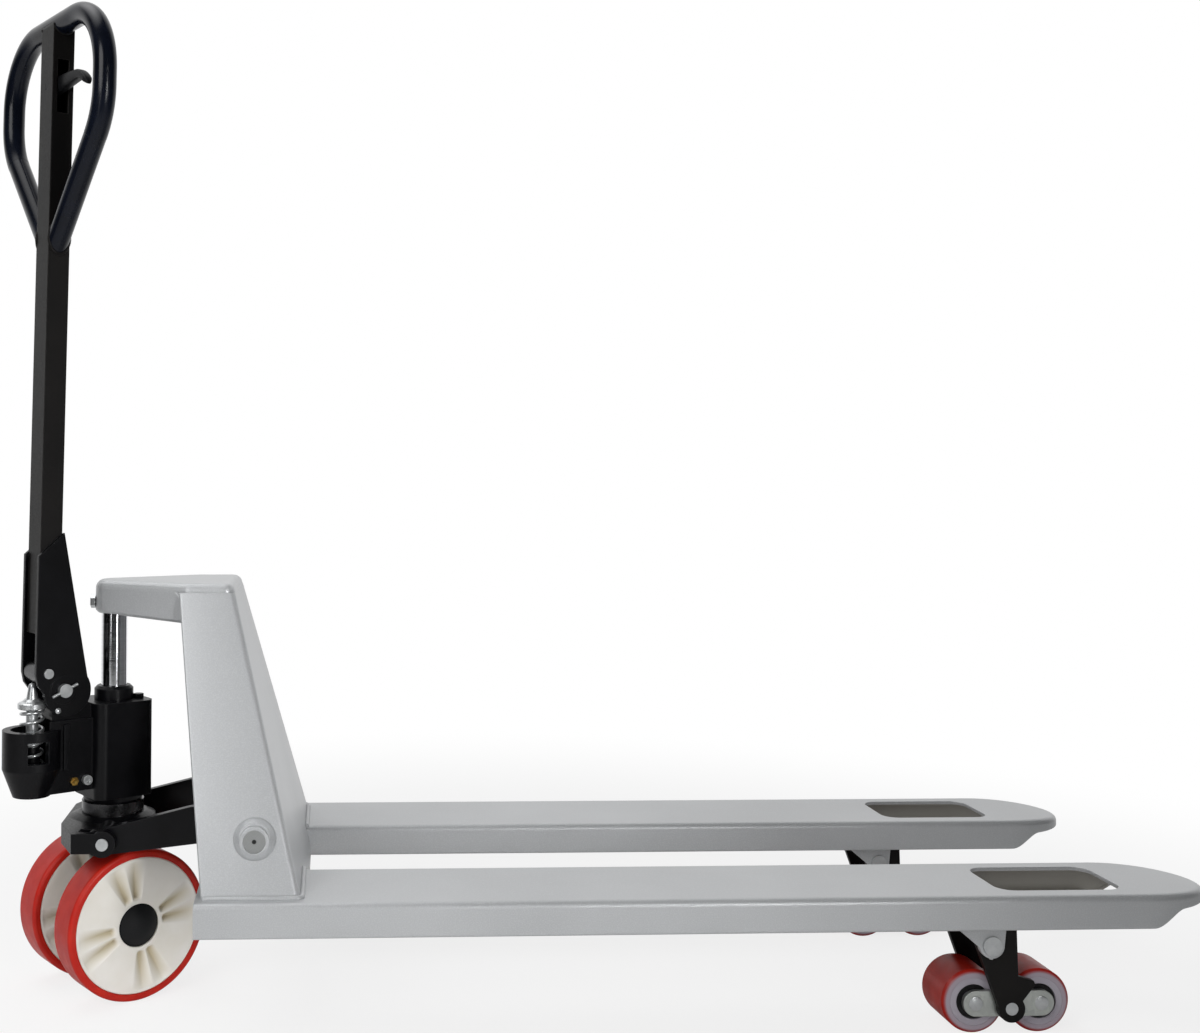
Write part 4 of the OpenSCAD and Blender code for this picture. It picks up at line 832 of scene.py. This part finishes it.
def weld_bead(name, corners, radius, material, body, closed=False, placed=None):
    """A round bead carried along a path, its radius swelling by a tenth at each ripple of the weld
    pool, with the ends drawn in to a point. The path is the corners joined by straight runs, taken
    every millimetre."""
    step, ripple, swelling, sides = 0.001, 0.0034, 0.10, 10
    aside = (0.31, 0.47, 0.83)  # any direction that no path runs along
    corners = np.asarray(corners, float)
    if closed:
        corners = np.concatenate((corners, corners[:1]))
    run = np.concatenate(((0,), np.cumsum(np.linalg.norm(np.diff(corners, axis=0), axis=1))))
    steps = int(run[-1]/step)
    s = np.linspace(0, run[-1], steps, endpoint=not closed)
    path = np.stack([np.interp(s, run, corners[:, k]) for k in range(3)], axis=1)
    if closed:
        ahead = unit(np.roll(path, -1, axis=0) - np.roll(path, 1, axis=0))
    else:
        ahead = unit(np.gradient(path, axis=0))
    across = unit(np.cross(ahead, aside))
    upward = np.cross(ahead, across)
    swell = radius*(1 + swelling*np.abs(np.sin(np.pi*s/ripple)))
    if not closed:
        swell = swell*np.sqrt(np.clip(np.minimum(s, run[-1] - s)/radius, 0, 1))
    k = circle(sides)
    ring = np.cos(k)[None, :, None]*across[:, None] + np.sin(k)[None, :, None]*upward[:, None]
    points = path[:, None] + swell[:, None, None]*ring
    points = placed(points) if placed else points
    place_piece(name, points, grid_faces(steps, sides, wrap_rows=closed), material, body)


def frame_welds(material):
    """Fillet beads round the tower's feet: along each side plate, round its front corner and along
    the front plate to the fork's inner edge."""
    bead, clear, corner_r, rise = 0.0034, 0.001, 0.008, FOOT[2] + 0.0008
    turn = np.radians(np.linspace(90, 0, 8))
    arc = corner_r*np.stack((np.cos(turn), np.sin(turn)), axis=1)
    corner = FOOT[:2] - (corner_r - clear) + arc
    rear = (FOOT[0] - FOOT_LENGTH, FOOT[1] + clear)
    plan = np.concatenate(([rear], corner, [(FOOT[0] + clear, FORK_Y - FORK_HALF)]))
    for word, side in SIDES:
        line = np.stack((plan[:, 0], side*plan[:, 1], np.full(len(plan), rise)), axis=1)
        weld_bead(word + "_foot_weld", line, bead, material, "frame")


def loop_welds(material):
    """Beads where the loop's legs run into the pole's sides, on the oblique section of the tube,
    and two arcs where the pole's top is fitted round the tube."""
    leg_bead, leg_wide, leg_high, leg_out = 0.0022, 0.0146, 0.0222, POLE_HALF + 0.0004
    top_bead, top_r, top_out = 0.0020, TUBE_R - 0.0004, POLE_HALF + 0.0002
    turn = np.linspace(0, 2*np.pi, 48, endpoint=False)
    under = np.radians(np.linspace(188, 352, 24))
    for side, word in ((-1, "near"), (1, "far")):
        oval = np.stack((-POLE_OUT + leg_wide*np.cos(turn), np.full(len(turn), side*leg_out),
                         LOOP_FOOT + leg_high*np.sin(turn)), axis=1)
        weld_bead(word + "_leg_weld", oval, leg_bead, material, "handle", True,
                  handled)
        arc = np.stack((-POLE_OUT + top_r*np.cos(under), np.full(len(under), side*top_out),
                        LOOP_TOP + top_r*np.sin(under)), axis=1)
        weld_bead(word + "_top_weld", arc, top_bead, material, "handle", False,
                  handled)


def roller_seals(material):
    """Two lipped rings in the end recesses of each load roller: a flat ring with a raised outer
    lip, turned about the roller's axle and mirrored to its other end."""
    sides = 48
    # Radius and distance from the roller's middle at each corner of the section
    profile = ((0.0133, 0.0268), (0.0133, 0.0292), (0.0150, 0.0298), (0.0188, 0.0296),
               (0.0202, 0.0308), (0.0214, 0.0308), (0.0217, 0.0298), (0.0217, 0.0268))
    shell = lathe(profile, sides)
    ring = np.stack((shell[..., 0], shell[..., 2], shell[..., 1]), axis=-1)
    one = np.array(grid_faces(len(profile), sides, wrap_rows=True))
    faces = np.concatenate((one, one + len(profile)*sides)).tolist()
    for word, side in SIDES:
        for end, x in zip(("rear", "front"), ROLLER_X):
            both = np.stack((ring, ring*(1, -1, 1))) + (x, side*FORK_Y, ROLLER_Z)
            place_piece(f"{word}_{end}_seals", both, faces, material, f"{word}_{end}_roller")


def cheek_rivet(material):
    """A domed rivet head on the near cheek of the handle bracket: a flat shank end, a short rim and
    a dome whose height falls with the square of the radius."""
    sides, head_r, sunk, rim, crown = 28, 0.0040, -0.001, 0.0006, 0.0016
    place = (-0.007, -0.026, -0.027)
    r = np.linspace(head_r, 0, 8)
    dome = np.stack((r, rim + crown*(1 - (r/head_r)**2)), axis=1)
    profile = np.concatenate((((0, sunk), (head_r, sunk)), dome))
    shell = lathe(profile, sides)
    points = np.stack((shell[..., 0], -shell[..., 2], shell[..., 1]), axis=-1) + place
    place_piece("cheek_rivet", handled(points), grid_faces(len(profile), sides), material, "handle")


def wound_spring(material):
    """A round wire carried along a helix. The rise per turn eases from the wire's own thickness in
    the closed end turns to the open pitch between them, and both wire ends are drawn in to a
    point."""
    turns, wire, outside, steps, sides = 7, 0.0042, 0.033, 320, 14
    closed_turns, least_pitch, point = 1.1, 0.05, 0.012
    closed_rise = 1.12*wire
    low, high = CUP_FLOOR + 0.0003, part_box("plunger_spring")[1][2]
    t = np.linspace(0, turns, steps)
    to_end = np.minimum(t, turns - t)
    pitch = least_pitch + smooth_step(np.clip(to_end/closed_turns, 0, 1))
    rise = np.concatenate(((0,), np.cumsum((pitch[1:] + pitch[:-1])/2)))
    # Closed turns keep one wire's thickness and the open ones share what is left
    z = t*closed_rise + rise/rise[-1]*(high - low - wire - turns*closed_rise)
    turn = 2*np.pi*t
    radius = (outside - wire)/2
    line = np.stack((radius*np.cos(turn), radius*np.sin(turn), low + wire/2 + z), axis=1)
    out = np.stack((np.cos(turn), np.sin(turn), 0*turn), axis=1)
    across = np.cross(unit(np.gradient(line, axis=0)), out)
    thick = wire/2*np.sqrt(np.clip(to_end/point, 0, 1))
    k = circle(sides)
    ring = np.cos(k)[None, :, None]*out[:, None] - np.sin(k)[None, :, None]*across[:, None]
    points = line[:, None] + thick[:, None, None]*ring
    points[..., 0] -= PLUNGER_OUT
    piece = place_piece("spring_wire", steered(points), grid_faces(steps, sides), material, "steer")
    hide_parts("plunger_spring")
    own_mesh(piece)


make_camera()
make_world()
make_floor()
for lamp_name, lamp in LAMPS.items():
    softbox(lamp_name, *lamp)
bpy.context.scene.view_settings.view_transform = "Standard"

silver = silver_powder_coat()
enamel = black_casting_enamel()
powder = black_powder_coat()
gloss = gloss_black_tube()
plastic = black_moulded_plastic()
zinc = zinc_plate()
dark_steel = oiled_steel()
galvanised = galvanised_plate()
turned = turned_steel(*SHAFT)
chrome = hard_chrome()
red = red_polyurethane("red_polyurethane", "#b7170d", "#c82716")
roller_red = red_polyurethane("red_polyurethane_on_flange", "#a4170d", "#bd2716", "#b3a7b2")
rubber = black_rubber()
ivory = moulded_nylon("ivory_nylon", "#eeeae0", "#f7f4ee", "#c2b594")
lilac = moulded_nylon("grey_nylon", "#aaa3ae", "#beb8c2")
brass = plain_brass()

paint_nodes(silver, "right_fork", "left_fork", "right_side_plate", "left_side_plate", "front_plate",
            "head", "shaft_bosses", "leg_lugs")
paint_nodes(enamel, "pump_body", "gland", "pump_seat", "rocker", "filler_plug", "handle_bracket")
paint_nodes(powder, "pole", "right_leg", "left_leg", "right_push_rod", "left_push_rod")
paint_nodes(gloss, "handle_loop")
paint_nodes(plastic, "right_wheel_cap", "left_wheel_cap", "control_lever")
paint_nodes(zinc, "leg_pins", "roll_pins", "clamp_bolt", "rod_pins", "seat_pins", "release_screw",
            "wheel_axle", "plunger", "spring_cap", "pivot_pin", "split_pin", "roller_pin",
            "control_rod", "leg_cross_pins", "rocker_bushes")
paint_nodes(dark_steel, "press_roller", "thrust_bearing", "right_wheel_bearings",
            "left_wheel_bearings")
paint_nodes(turned, "rocker_shaft")
paint_nodes(chrome, "ram")
paint_nodes(brass, "release_nut")
paint_nodes(red, "right_wheel_tyre", "left_wheel_tyre")
paint_nodes(roller_red, "right_rear_tyre", "right_front_tyre", "left_rear_tyre", "left_front_tyre")
paint_nodes(ivory, "right_wheel_hub", "left_wheel_hub")
paint_nodes(lilac, "right_rear_hub", "right_front_hub", "left_rear_hub", "left_front_hub")
paint_nodes(galvanised, "right_bogie", "left_bogie")

for word, side in SIDES:
    fork_skin(word, side, silver)
for word, side in SIDES:
    wheel_hub(word, side, ivory)
hooked_lever(plastic)
axle_heads(zinc)
for word, side in SIDES:
    side_sheet(word, side, silver)
frame_welds(silver)
loop_welds(powder)
roller_seals(rubber)
cheek_rivet(zinc)
wound_spring(zinc)
